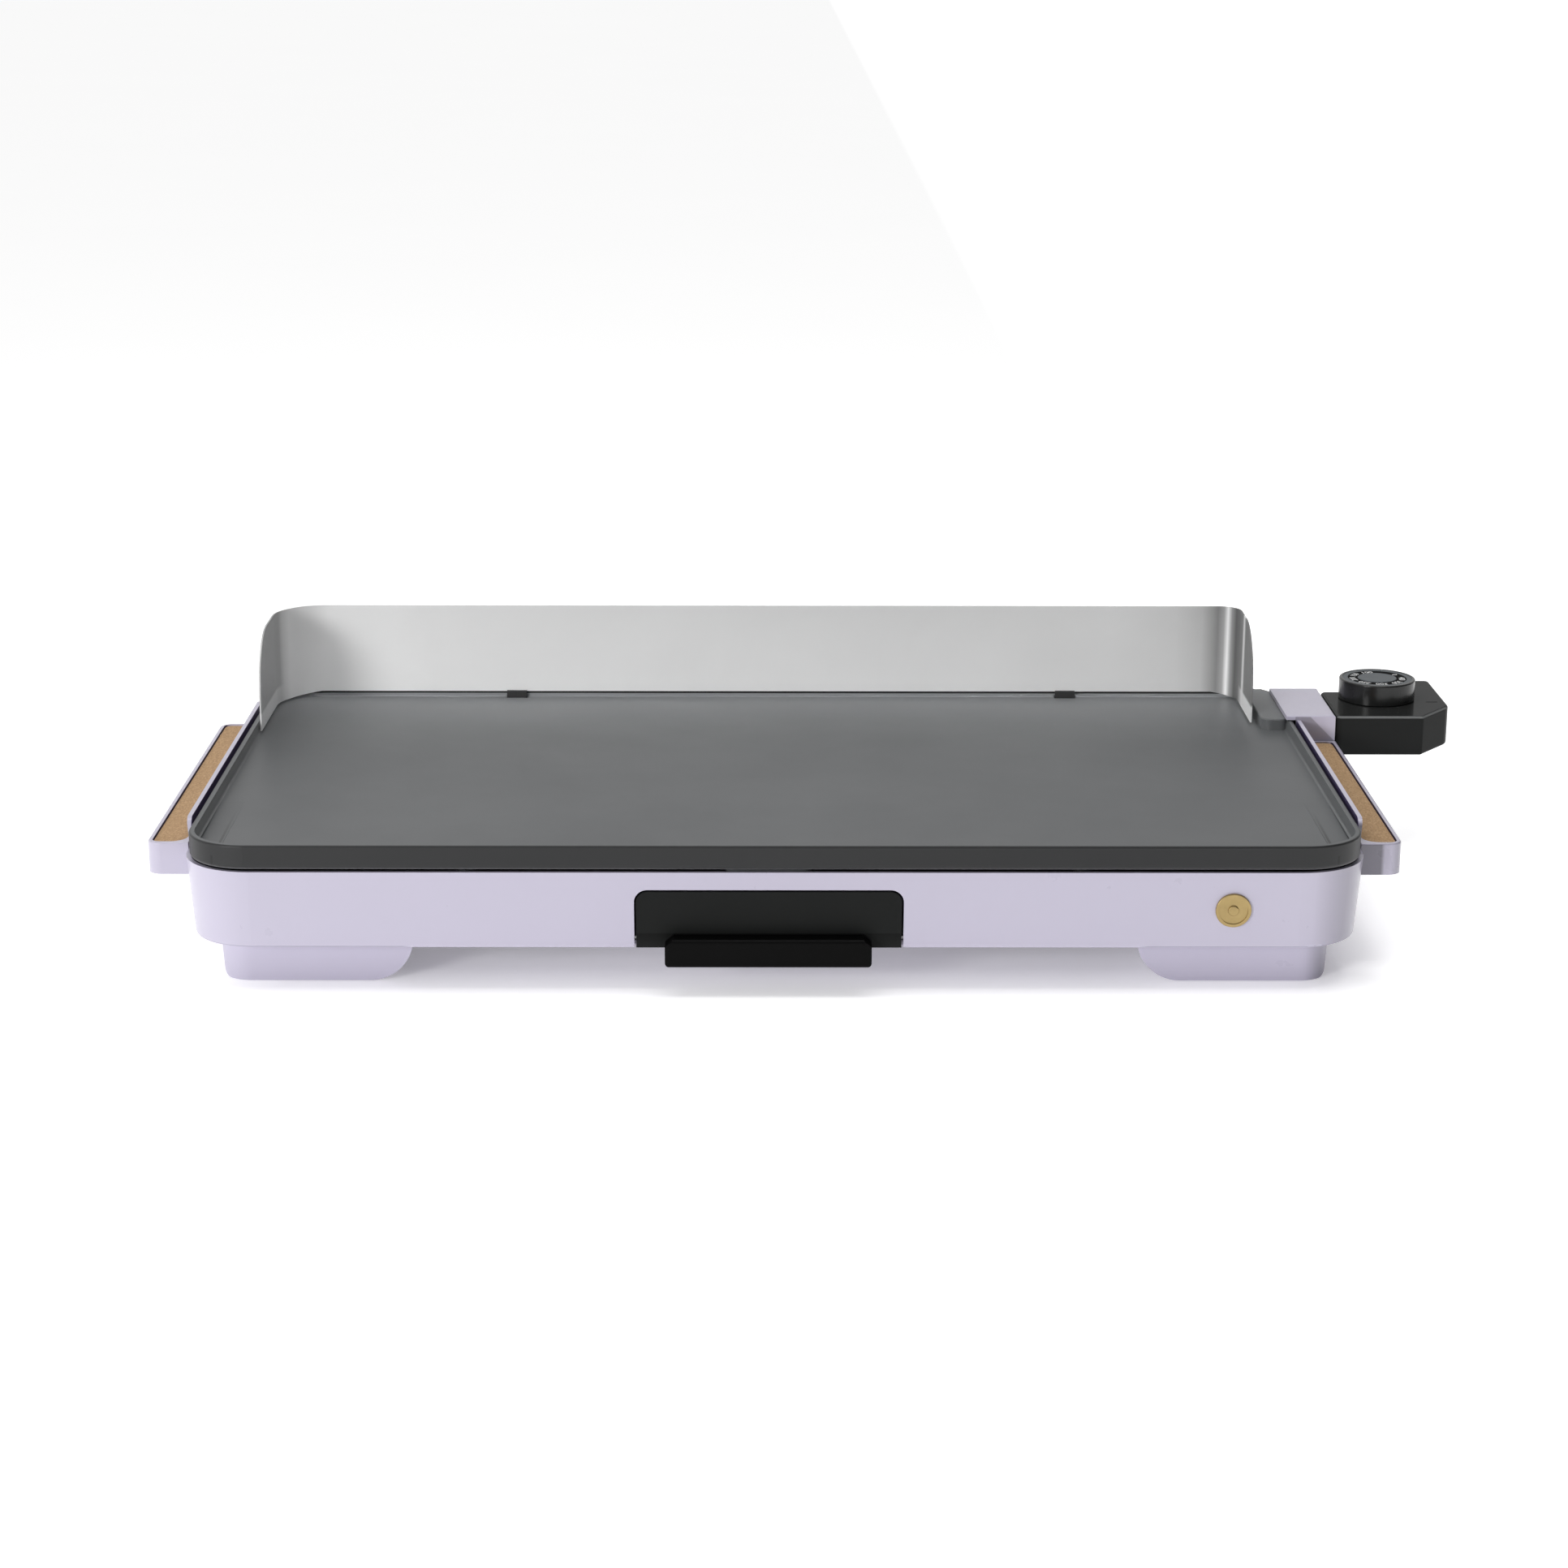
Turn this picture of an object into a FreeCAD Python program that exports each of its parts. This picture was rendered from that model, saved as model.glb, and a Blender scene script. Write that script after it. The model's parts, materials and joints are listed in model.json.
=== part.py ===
"""Electric griddle: cast cooking plate in a moulded base, lift-off splash guard,
pull-out drip tray and a plug-in temperature probe with a dial.

Millimetres. X runs along the long side (the probe is at +X), Y runs from the cook to the
back, Z is up. Shapes are drawn about the middle of the cooking plate with the foot pads
on Z = 0, and every shape is moved by the same shift when it is written, so that the origin
is the middle of the whole object's box at counter level.
"""
import FreeCAD, Part
import math
import os

V = FreeCAD.Vector

# ------------------------------------------------------------------ driving dimensions
# cooking plate
PLATE_HALF_X = 284.5
PLATE_HALF_Y = 159.5
PLATE_CORNER = 30.0
RIM_TOP = 75.0
RIM_BOTTOM = 63.0
RIM_WIDTH = 2.8
SURFACE = 69.0            # level of the cooking surface
WEB = 4.0                 # thickness of the plate under the food
SKIRT = 6.0               # thickness of the plate's rim below the surface
TROUGH_Y = (-151.0, -139.0)
TROUGH_DEPTH = (1.6, 3.0)  # at its ends and at the drain
GUTTER_WIDTH = 12.0
GUTTER_SLANT = 1.2        # how far the gutter's inner edge leans outwards
GUTTER_BACK = -62.0       # where the side gutters run out into the surface
BOSS_X = (267.5, 283.0)   # raised pad over the terminals
BOSS_Y = (81.0, 150.0)
BOSS_TOP = 75.4
POST_PLACES = [(-150, -131), (150, -131), (-150, 140), (150, 140), (-110, 5), (110, 5)]
POST_R = 6.0
POST_BOTTOM = 56.0

# heating element and terminals
HEAT_Z = 62.0
ELEMENT_R = 3.5
ELEMENT_BEND = 18.0
RIDGE_R = 6.0
BUSH_R = 5.0
BUSH_X = (276.0, 286.6)
PIN_X = (276.0, 302.0)
PROBE_Y = 105.0           # centre line of the plug-in probe
PIN_PITCH = 32.0
PIN_R = 2.4
ROD_R = 3.0
ROD_TIP_X = 224.0

# moulded base
BASE_HALF_X = 288.6       # at rail height
BASE_HALF_Y = 158.2       # at rail height
BASE_CORNER = 36.0        # at rail height
BASE_SLOPE = 0.08         # walls lean in by this much per millimetre downwards
BASE_BOTTOM = 22.0
BASE_TOP = 61.0
BASE_WALL = 2.3
FLOOR = 2.5
RAIL_TOP = 75.5
RAIL_FRONT = -114.0
RAIL_BACK = 122.0
RAIL_ROUND = 5.0
REFLECTOR_Z = 50.0
REFLECTOR_RISE = 4.0
REFLECTOR_HALF = (276.0, 146.0)
REFLECTOR_CORNER = 20.0
SHEET = 0.8               # thickness of the reflector and of the splash guard
BOSS_R = 6.5              # screw bosses that carry the plate
SCREW_R = 1.95
SCREW_HEAD_Z = 30.0
SPACER_R = 5.0

# feet
FOOT_X = (176.5, 272.0)
FOOT_FRONT = 139.0
FOOT_DEPTH = 60.0
FOOT_BOTTOM = 0.3
FOOT_SWEEP = 21.5         # radius of the foot's inner end
FOOT_WALL = 2.4
FOOT_SCREW_X = (205.0, 245.0)
SEAM = 0.6                # shadow line between the base and a foot
PAD_X = 226.0
PAD_HALF = (22.0, 17.0)
PAD_THICK = 2.0
PAD_R = 6.0

# handles
HANDLE_OUT = 308.3
HANDLE_Z = (48.0, 64.0)
HANDLE_FRONT = -118.0
HANDLE_BACK = 113.0
HANDLE_EDGE = 2.2         # width of the border round the cork
HANDLE_ROUND = 7.0
HANDLE_SCREW_Z = 54.0
HANDLE_SCREWS = [(-1, -85), (-1, 80), (1, -85), (1, 45)]  # side and y of each
CORK_IN = 289.6
CORK_DROP = 0.7           # cork lies this far below the border
CORK_THICK = 2.6

# hood over the terminals
HOOD_X = (280.6, 307.6)
HOOD_Y = (78.0, 141.0)
HOOD_TOP = 78.0
HOOD_WALL = 2.2

# plug-in temperature probe
CASE_X = (308.2, 374.5)
CASE_Y = (77.0, 160.0)
CASE_WAIST_Y = 133.4
CASE_Z = (56.0, 78.0)
CASE_SPLIT = 66.0
CASE_WALL = 2.2
NOSE_X = 289.8
NOSE_Y = (83.0, 127.0)
NOSE_Z = (57.0, 73.0)
KNOB_XY = (337.0, 118.0)
KNOB_R = 21.0
KNOB_Z = (78.6, 90.0)
KNOB_SKIN = 3.2           # thickness of the knob's top
DIAL_RECESS_R = 19.2
DIAL_FLOOR = KNOB_Z[1] - 1.0
DIAL_RING = (10.8, 16.2)  # inner and outer radius of the numbered ring
SHAFT_R = 3.0
CASE_SCREWS = [(316.0, 85.0), (366.0, 124.0), (346.5, 150.0)]
SLEEVE_X = (293.0, 305.0)
SLEEVE_R = 3.4
LENS_X = (363.3, 369.5)
LENS_Y = 109.4
GLAND_R = 5.5
GLAND_XZ = (357.0, 67.0)
GLAND_BORE_R = 3.5
GLAND_END = 166.0         # back face of the gland

# drip tray
TRAY_X = -3.2
TRAY_HALF = 64.0
TRAY_Z = (22.2, 51.0)
TRAY_PANEL = 3.0
BASIN_HALF = 57.5
BASIN_Y = (-153.0, -44.0)
BASIN_Z = (25.0, 47.0)
LIP_HALF = 49.7
LIP_Z = (15.2, 29.1)
LIP_FRONT = -164.0

# splash guard, sizes of its inside faces
GUARD_LEFT = -279.6
GUARD_RIGHT = 263.1
GUARD_BACK = 155.0
GUARD_BENDS = (26.0, 11.0)  # radii of the left and right bends
GUARD_Z = (72.4, 122.2)
WING_BOTTOM = 70.4
WING_FRONT = {"left": 72.5, "right": 93.0}
WING_ROUND = 32.0
GUARD_FEET_X = (-146.5, 166.0)
GUARD_FOOT_HALF = 5.6
GUARD_FOOT_Z = (67.3, 72.9)

BADGE_XZ = (220.3, 41.9)
BADGE_R = 8.6

FIT = 0.05                # gap between pieces pressed together
GAP = 0.3                 # least gap between pieces that move apart


# ------------------------------------------------------------------ drawing helpers
PLANES = {
    "xy": (lambda u, v, w: V(u, v, w), V(0, 0, 1)),
    "yz": (lambda u, v, w: V(w, u, v), V(1, 0, 0)),
    "xz": (lambda u, v, w: V(u, w, v), V(0, 1, 0)),
}


def outline(corners, plane="xy", level=0.0):
    """Closed wire through corners (u, v) or (u, v, radius); a radius rounds that corner."""
    def at(p):
        return PLANES[plane][0](p.x, p.y, level)

    points = [V(c[0], c[1], 0) for c in corners]
    wire, first, last = [], None, None
    for i, corner in enumerate(corners):
        here = points[i]
        radius = corner[2] if len(corner) > 2 else 0
        start = stop = here
        if radius > 0:
            before = (points[i - 1] - here).normalize()
            after = (points[(i + 1) % len(points)] - here).normalize()
            half = before.getAngle(after) / 2
            start = here + before * (radius / math.tan(half))
            stop = here + after * (radius / math.tan(half))
            middle = here + (before + after).normalize() * (radius / math.sin(half) - radius)
        if last is not None and (start - last).Length > 1e-6:
            wire.append(Part.makeLine(at(last), at(start)))
        if radius > 0:
            wire.append(Part.Arc(at(start), at(middle), at(stop)).toShape())
        first = start if first is None else first
        last = stop
    if (first - last).Length > 1e-6:
        wire.append(Part.makeLine(at(last), at(first)))
    return Part.Wire(wire)


def prism(corners, start, end, plane="xy"):
    """Solid drawn in one plane and extruded from start to end along its normal."""
    face = Part.Face(outline(corners, plane, start))
    return face.extrude(PLANES[plane][1] * (end - start))


def rect(u, v, radius=0.0):
    """Corners of a rectangle spanning u = (low, high) and v = (low, high)."""
    return [(u[0], v[0], radius), (u[1], v[0], radius),
            (u[1], v[1], radius), (u[0], v[1], radius)]


def block(x, y, z, radius=0.0):
    """Upright block over the spans x, y and z, with rounded upright edges."""
    return prism(rect(x, y, radius), z[0], z[1])


def around(middle, half):
    """Span of the given half width about a middle."""
    return (middle - half, middle + half)


def rod(start, end, radius):
    """Round bar between two points."""
    way = V(*end) - V(*start)
    return Part.makeCylinder(radius, way.Length, V(*start), way)


def tube(start, end, outer, inner):
    return rod(start, end, outer).cut(rod(start, end, inner))


def bent_bar(points, bend, radius):
    """Round bar along straight runs in one level plane, joined by bends of one radius."""
    path, last = [], V(*points[0])
    for i in range(1, len(points) - 1):
        here = V(*points[i])
        before = (V(*points[i - 1]) - here).normalize()
        after = (V(*points[i + 1]) - here).normalize()
        half = before.getAngle(after) / 2
        trim = bend / math.tan(half)
        middle = here + (before + after).normalize() * (bend / math.sin(half) - bend)
        start, stop = here + before * trim, here + after * trim
        path.append(Part.makeLine(last, start))
        path.append(Part.Arc(start, middle, stop).toShape())
        last = stop
    path.append(Part.makeLine(last, V(*points[-1])))
    first, second = V(*points[0]), V(*points[1])
    section = Part.Wire(Part.makeCircle(radius, first, second - first))
    return Part.Wire(path).makePipeShell([section], True, False)


def merged(shapes):
    whole = shapes[0].multiFuse(shapes[1:]) if len(shapes) > 1 else shapes[0]
    return whole.removeSplitter()


def without(shape, cutters):
    for cutter in cutters:
        shape = shape.cut(cutter)
    return shape


def group(solids):
    return Part.makeCompound(solids)


def mirrored(shape):
    """The same shape on the other side of the middle."""
    return shape.mirror(V(0, 0, 0), V(1, 0, 0))


def softened(shape, radius, picked):
    """Fillet the edges for which picked(edge) is true."""
    edges = [e for e in shape.Edges if picked(e)]
    return shape.makeFillet(radius, edges)


def level_edge(z):
    """Test for an edge that lies wholly at height z."""
    return lambda e: abs(e.BoundBox.ZMin - z) < 1e-4 and abs(e.BoundBox.ZMax - z) < 1e-4


def pan_screw(head, tip, shank_r, head_r, head_h):
    """Pan-head screw with a cross recess; head is the underside of the head."""
    way = (V(*tip) - V(*head)).normalize()
    top = V(*head) - way * head_h
    cap = Part.makeCylinder(head_r, head_h, top, way)
    body = cap.fuse(rod(head, tip, shank_r))
    side = V(0, 1, 0) if abs(way.x) > 0.5 else V(1, 0, 0)
    cross = side.cross(way)
    slot_half, slot_deep = head_r * 0.6, head_h * 0.5
    for long_way, short_way in ((side, cross), (cross, side)):
        corner = top - long_way * slot_half - short_way * (head_r * 0.12)
        sides = [long_way * (2 * slot_half), short_way * (head_r * 0.24)]
        base = Part.Face(Part.makePolygon([corner, corner + sides[0], corner + sides[0] + sides[1],
                                           corner + sides[1], corner]))
        body = body.cut(base.extrude(way * slot_deep))
    return body


# ------------------------------------------------------------------ base outline
def base_half(z, inset=0.0):
    """Half length, half depth and corner radius of the leaning base wall at height z."""
    lean = BASE_SLOPE * (RAIL_TOP - z) + inset
    return BASE_HALF_X - lean, BASE_HALF_Y - lean, BASE_CORNER - lean


def base_solid(low, high, inset=0.0):
    """The base's leaning outline filled between two heights."""
    wires = []
    for z in (low, high):
        half_x, half_y, corner = base_half(z, inset)
        wires.append(outline(rect((-half_x, half_x), (-half_y, half_y), corner), "xy", z))
    return Part.makeLoft(wires, True, True)


# ------------------------------------------------------------------ cooking plate
def element_path(tip_x=276.0):
    """One long loop under the plate that starts and ends at the two terminals."""
    upper, lower = PROBE_Y + PIN_PITCH / 2, PROBE_Y - PIN_PITCH / 2
    turns = [(tip_x, upper), (-245, upper), (-245, -112), (240, -112), (240, -35),
             (-165, -35), (-165, 40), (200, 40), (200, lower), (tip_x, lower)]
    return [(x, y, HEAT_Z) for x, y in turns]


def pin_ys():
    return (PROBE_Y - PIN_PITCH / 2, PROBE_Y + PIN_PITCH / 2)


def guard_foot_pocket(x):
    """Shallow pocket in the plate that keeps the guard from sliding."""
    return block(around(x, GUARD_FOOT_HALF + 0.6), (GUARD_BACK - 2.4, GUARD_BACK + 2.6),
                 (GUARD_FOOT_Z[0] - GAP, SURFACE + 1))


def griddle_plate():
    span_x, span_y = around(0, PLATE_HALF_X), around(0, PLATE_HALF_Y)
    body = block(span_x, span_y, (RIM_BOTTOM, RIM_TOP), PLATE_CORNER)
    body = softened(body, 1.0, level_edge(RIM_TOP))
    body = softened(body, 2.0, level_edge(RIM_BOTTOM))

    # pan: nearly upright inner wall that ends in a small round at the floor
    top_half = (PLATE_HALF_X - RIM_WIDTH, PLATE_HALF_Y - RIM_WIDTH)
    lean = 0.8
    wires = []
    for z, inset in ((SURFACE, lean), (RIM_TOP + 0.01, 0.0)):
        half_x, half_y = top_half[0] - inset, top_half[1] - inset
        corner = PLATE_CORNER - RIM_WIDTH - inset
        wires.append(outline(rect((-half_x, half_x), (-half_y, half_y), corner), "xy", z))
    pan = Part.makeLoft(wires, True, True)
    pan = softened(pan, 1.2, level_edge(SURFACE))
    hollow_half = (PLATE_HALF_X - SKIRT, PLATE_HALF_Y - SKIRT)
    underside = block(around(0, hollow_half[0]), around(0, hollow_half[1]),
                      (RIM_BOTTOM - 1, SURFACE - WEB), PLATE_CORNER - SKIRT)
    body = body.cut(pan).cut(underside)

    # thick places under the plate: element ridge, probe well, posts, drain and terminals
    spout_y = sum(TROUGH_Y) / 2
    adds = [bent_bar(element_path(), ELEMENT_BEND, RIDGE_R)]
    adds.append(rod((ROD_TIP_X - 8, PROBE_Y, HEAT_Z), (276, PROBE_Y, HEAT_Z), RIDGE_R + 1))
    adds += [rod((x, y, POST_BOTTOM), (x, y, SURFACE - WEB), POST_R) for x, y in POST_PLACES]
    trough_back = TROUGH_Y[1] + 3
    adds.append(block(around(0, 270), (-155, trough_back), (RIM_BOTTOM + 0.4, SURFACE - WEB), 3))
    adds.append(block(around(TRAY_X, 21), around(spout_y + 0.5, 6), (48.5, SURFACE - WEB), 5))
    adds.append(block((262, PLATE_HALF_X), (80, 130), (POST_BOTTOM, SURFACE - WEB), 3))
    pad = block(BOSS_X, BOSS_Y, (SURFACE - 1, BOSS_TOP), 6.0)
    pad = softened(pad, 0.8, level_edge(BOSS_TOP))
    corner_keep = block(span_x, span_y, (RIM_BOTTOM, BOSS_TOP + 1), PLATE_CORNER)
    adds.append(pad.common(corner_keep))
    body = merged([body] + adds)

    # front trough that falls to the drain, and side gutters that fall to the trough
    floor_half = (top_half[0] - lean, top_half[1] - lean)
    floor_zone = block(around(0, floor_half[0]), around(0, floor_half[1]),
                       (SURFACE - 4, SURFACE + 0.2), PLATE_CORNER - RIM_WIDTH - lean)
    ends, deepest = TROUGH_DEPTH
    half = floor_half[0]
    trough = prism([(-half, SURFACE + 0.2), (-half, SURFACE - ends), (TRAY_X, SURFACE - deepest),
                    (half, SURFACE - ends), (half, SURFACE + 0.2)], *TROUGH_Y, "xz")
    edge = half - GUTTER_WIDTH
    falling = prism([(GUTTER_BACK, SURFACE + 0.01), (TROUGH_Y[0], SURFACE - ends),
                     (TROUGH_Y[0], SURFACE + 0.01)], edge - GUTTER_SLANT - 1, half, "yz")
    leaning = prism([(edge - GUTTER_SLANT, SURFACE + 0.01), (edge, SURFACE - ends),
                     (half, SURFACE - ends), (half, SURFACE + 0.01)],
                    TROUGH_Y[0], GUTTER_BACK, "xz")
    gutter = falling.common(leaning)
    cuts = [trough.common(floor_zone), gutter.common(floor_zone),
            mirrored(gutter).common(floor_zone)]
    cuts.append(block(around(TRAY_X, 17), around(spout_y + 0.5, 3.2), (40, SURFACE), 3))
    cuts += [guard_foot_pocket(x) for x in GUARD_FEET_X]

    # holes: element, probe well, terminal bushes and post screws
    cuts.append(bent_bar(element_path(), ELEMENT_BEND, ELEMENT_R + FIT))
    cuts.append(rod((ROD_TIP_X - 4, PROBE_Y, HEAT_Z), (300, PROBE_Y, HEAT_Z), ROD_R + GAP))
    cuts += [rod((275.9, y, HEAT_Z), (300, y, HEAT_Z), BUSH_R + FIT) for y in pin_ys()]
    cuts += [rod((x, y, POST_BOTTOM - 1), (x, y, POST_BOTTOM + 7), SCREW_R + FIT)
             for x, y in POST_PLACES]
    return without(body, cuts)


def heating_element():
    return bent_bar(element_path(BUSH_X[0] - FIT), ELEMENT_BEND, ELEMENT_R)


def terminal_pins():
    pins = []
    for y in pin_ys():
        pin = rod((PIN_X[0], y, HEAT_Z), (PIN_X[1], y, HEAT_Z), PIN_R)
        pins.append(pin.makeChamfer(1.0, [e for e in pin.Edges
                                          if abs(e.BoundBox.XMin - PIN_X[1]) < 1e-4]))
    return group(pins)


def pin_bushes():
    bushes = []
    for y in pin_ys():
        barrel = rod((BUSH_X[0], y, HEAT_Z), (BUSH_X[1], y, HEAT_Z), BUSH_R)
        bushes.append(barrel.cut(rod((270, y, HEAT_Z), (290, y, HEAT_Z), PIN_R + FIT)))
    return group(bushes)


def terminal_shield():
    """Pressed steel plate on the side of the casting that steadies the bushes."""
    x = (PLATE_HALF_X + 0.1, PLATE_HALF_X + 1.1)
    plate = prism(rect((81.0, 129.0), (55.0, 72.0), 3.0), *x, "yz")
    cuts = [rod((280, y, HEAT_Z), (290, y, HEAT_Z), BUSH_R + FIT) for y in pin_ys()]
    cuts.append(rod((280, PROBE_Y, HEAT_Z), (290, PROBE_Y, HEAT_Z), ROD_R + 0.8))
    return without(plate, cuts)


# ------------------------------------------------------------------ base and what it holds
def tray_opening():
    """Mouth of the tray bay in the front wall, running down to the bottom edge."""
    side, top = TRAY_HALF + 0.9, TRAY_Z[1] + 1.0
    x = around(TRAY_X, side)
    corners = [(x[0], BASE_BOTTOM - 1), (x[1], BASE_BOTTOM - 1), (x[1], top, 6.4), (x[0], top, 6.4)]
    return prism(corners, -PLATE_HALF_Y, BASIN_Y[0] + 3.5, "xz")


def rail_zone(back, back_round):
    """Side view of a raised side rail: rounded in front, and behind where it ends free."""
    low = BASE_TOP - 1
    return [(RAIL_FRONT, low), (back, low), (back, RAIL_TOP, back_round),
            (RAIL_FRONT, RAIL_TOP, RAIL_ROUND)]


def foot_screw_places():
    places = []
    for side in (-1, 1):
        for end in (-1, 1):
            for x in FOOT_SCREW_X:
                places.append((side * x, end * (FOOT_FRONT - FOOT_DEPTH / 2)))
    return places


def base_housing():
    shell = base_solid(BASE_BOTTOM, RAIL_TOP)
    shell = softened(shell, 1.5, level_edge(BASE_BOTTOM))
    shell = shell.cut(base_solid(BASE_BOTTOM + FLOOR, RAIL_TOP + 1, BASE_WALL))

    # walls stop at BASE_TOP, except the two raised side rails
    low_zone = block((-300, 300), (-170, 170), (0, BASE_TOP))
    rail_left = prism(rail_zone(RAIL_BACK, RAIL_ROUND), -300, -270, "yz")
    rail_right = prism(rail_zone(HOOD_Y[0], 0), 270, 300, "yz")
    shell = shell.common(merged([low_zone, rail_left, rail_right]))

    # mouth of the tray bay, window for the probe and the terminals
    window = block((278, 300), (HOOD_Y[0] + HOOD_WALL, HOOD_Y[1] - HOOD_WALL), (50.2, 80))
    shell = without(shell, [tray_opening(), window])

    floor_top = BASE_BOTTOM + FLOOR
    bosses = [rod((x, y, floor_top - 1), (x, y, REFLECTOR_Z), BOSS_R) for x, y in POST_PLACES]
    ribs = []
    for x, y in POST_PLACES:
        ribs.append(block(around(x, 14), around(y, 0.9), (floor_top - 1, 40)))
    room = base_solid(BASE_BOTTOM + 1, BASE_TOP, 1.0)
    shell = merged([shell] + bosses + [rib.common(room) for rib in ribs])

    cuts = []
    for x, y in POST_PLACES:
        cuts.append(rod((x, y, 20), (x, y, SCREW_HEAD_Z), 4.2))
        cuts.append(rod((x, y, 20), (x, y, REFLECTOR_Z + 1), SCREW_R + 0.25))
    for side, y in HANDLE_SCREWS:
        cuts.append(rod((side * 270, y, HANDLE_SCREW_Z), (side * 292, y, HANDLE_SCREW_Z), 1.6))
    for x, y in foot_screw_places():
        cuts.append(rod((x, y, 20), (x, y, 25), 1.6))
    # cooling slots through the floor, between the feet and clear of the tray bay
    for side in (-1, 1):
        for step in range(6):
            x = side * (96 + 12 * step)
            cuts.append(block(around(x, 2.5), around(-70, 28), (20, 25), 2.4))
            cuts.append(block(around(x, 2.5), around(80, 28), (20, 25), 2.4))
    return without(shell, cuts)


def heat_reflector():
    """Shallow sheet tray that keeps the heat of the element off the base."""
    z = (REFLECTOR_Z, REFLECTOR_Z + SHEET)
    half_x, half_y = REFLECTOR_HALF
    corner = REFLECTOR_CORNER
    outer = block(around(0, half_x), around(0, half_y), (z[0], z[1] + REFLECTOR_RISE), corner)
    inner = block(around(0, half_x - SHEET), around(0, half_y - SHEET),
                  (z[1], z[1] + REFLECTOR_RISE + 1), corner - SHEET)
    cuts = [rod((x, y, 40), (x, y, 60), SCREW_R + 0.25) for x, y in POST_PLACES]
    cuts.append(block(around(TRAY_X, 23), (-150, -136), (40, 60), 0))
    return without(outer.cut(inner), cuts)


def plate_spacers():
    low, high = REFLECTOR_Z + SHEET, POST_BOTTOM
    return group([tube((x, y, low), (x, y, high), SPACER_R, SCREW_R + 0.25)
                  for x, y in POST_PLACES])


def plate_screws():
    return group([pan_screw((x, y, SCREW_HEAD_Z), (x, y, POST_BOTTOM + 6), SCREW_R, 3.7, 2.6)
                  for x, y in POST_PLACES])


# ------------------------------------------------------------------ hood, handles and feet
def probe_hood():
    """Cover over the terminals, open towards the probe and flush with the right grip."""
    x_in = 284.0
    low = HANDLE_Z[0]
    lid = block(HOOD_X, HOOD_Y, (75.7, HOOD_TOP))
    shell = block((x_in, HOOD_X[1]), HOOD_Y, (low, HOOD_TOP))
    hollow_y = (HOOD_Y[0] + HOOD_WALL, HOOD_Y[1] - HOOD_WALL)
    hollow = block((x_in - 1, HOOD_X[1] + 1), hollow_y, (low + HOOD_WALL, 74.8))
    over_plate = block((x_in - 1, PLATE_HALF_X + 1.6), (70, 150), (60, 75.7))
    hood = merged([shell.cut(hollow).cut(over_plate), lid])
    hood = hood.cut(base_solid(BASE_BOTTOM, BASE_TOP))
    outer_top = lambda e: (level_edge(HOOD_TOP)(e) and e.BoundBox.XMax > HOOD_X[0] + 1)
    return softened(hood, 0.9, outer_top)


def handle_corners(side, y, inner, outer, radius):
    """Plan of a grip: square against the base, rounded on its outer side."""
    if side < 0:
        return [(-inner, y[0]), (-inner, y[1]), (-outer, y[1], radius), (-outer, y[0], radius)]
    back = radius if y[1] != HOOD_Y[0] else 0
    return [(inner, y[0]), (outer, y[0], radius), (outer, y[1], back), (inner, y[1])]


def handle_span(side):
    return (HANDLE_FRONT, HANDLE_BACK if side < 0 else HOOD_Y[0])


def cork_span(side):
    front, back = handle_span(side)
    return (front + HANDLE_EDGE + 0.6, back - HANDLE_EDGE)


def cork_corners(side, slack):
    """Plan of the cork strip, or of its recess when slack is above zero."""
    y = cork_span(side)
    x = (CORK_IN - slack, HANDLE_OUT - HANDLE_EDGE - 0.5 + 2 * slack)
    corners = [(x[0], y[0] - slack, 8), (x[1], y[0] - slack, 4),
               (x[1], y[1] + slack, 4), (x[0], y[1] + slack, 6)]
    return [(side * u, v, r) for u, v, r in corners][::side]


def handle(side):
    y = handle_span(side)
    low, high = HANDLE_Z
    grip = prism(handle_corners(side, y, 282.0, HANDLE_OUT, HANDLE_ROUND), low, high)
    grip = softened(grip, 0.9, level_edge(high))
    cork_floor = high - CORK_DROP - CORK_THICK
    finger_room = block(sorted_span(side * 290.2, side * (HANDLE_OUT - HANDLE_EDGE)),
                        (y[0] + 3, y[1] - 3), (low - 1, cork_floor - 1.6), 3.0)
    recess = prism(cork_corners(side, 0.25), cork_floor, high + 1)
    grip = grip.cut(finger_room).cut(recess)
    bosses, holes = [], []
    for screw_side, screw_y in HANDLE_SCREWS:
        if screw_side == side:
            bosses.append(rod((side * 289, screw_y, HANDLE_SCREW_Z),
                              (side * 300, screw_y, HANDLE_SCREW_Z), 3.6))
            holes.append(rod((side * 280, screw_y, HANDLE_SCREW_Z),
                             (side * 298, screw_y, HANDLE_SCREW_Z), 1.45))
    grip = without(merged([grip] + bosses), holes)
    return grip.cut(base_solid(BASE_BOTTOM, RAIL_TOP))


def sorted_span(a, b):
    return (min(a, b), max(a, b))


def cork_strip(side):
    high = HANDLE_Z[1] - CORK_DROP
    strip = prism(cork_corners(side, 0.0), high - CORK_THICK, high)
    strip = softened(strip, 0.4, level_edge(high))
    return strip.cut(base_solid(BASE_BOTTOM, RAIL_TOP))


def handle_screws():
    screws = []
    for side, y in HANDLE_SCREWS:
        seat = base_half(HANDLE_SCREW_Z - 3, BASE_WALL)[0] - FIT
        screws.append(pan_screw((side * seat, y, HANDLE_SCREW_Z),
                                (side * 297, y, HANDLE_SCREW_Z), 1.4, 3.0, 2.0))
    return group(screws)


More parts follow.
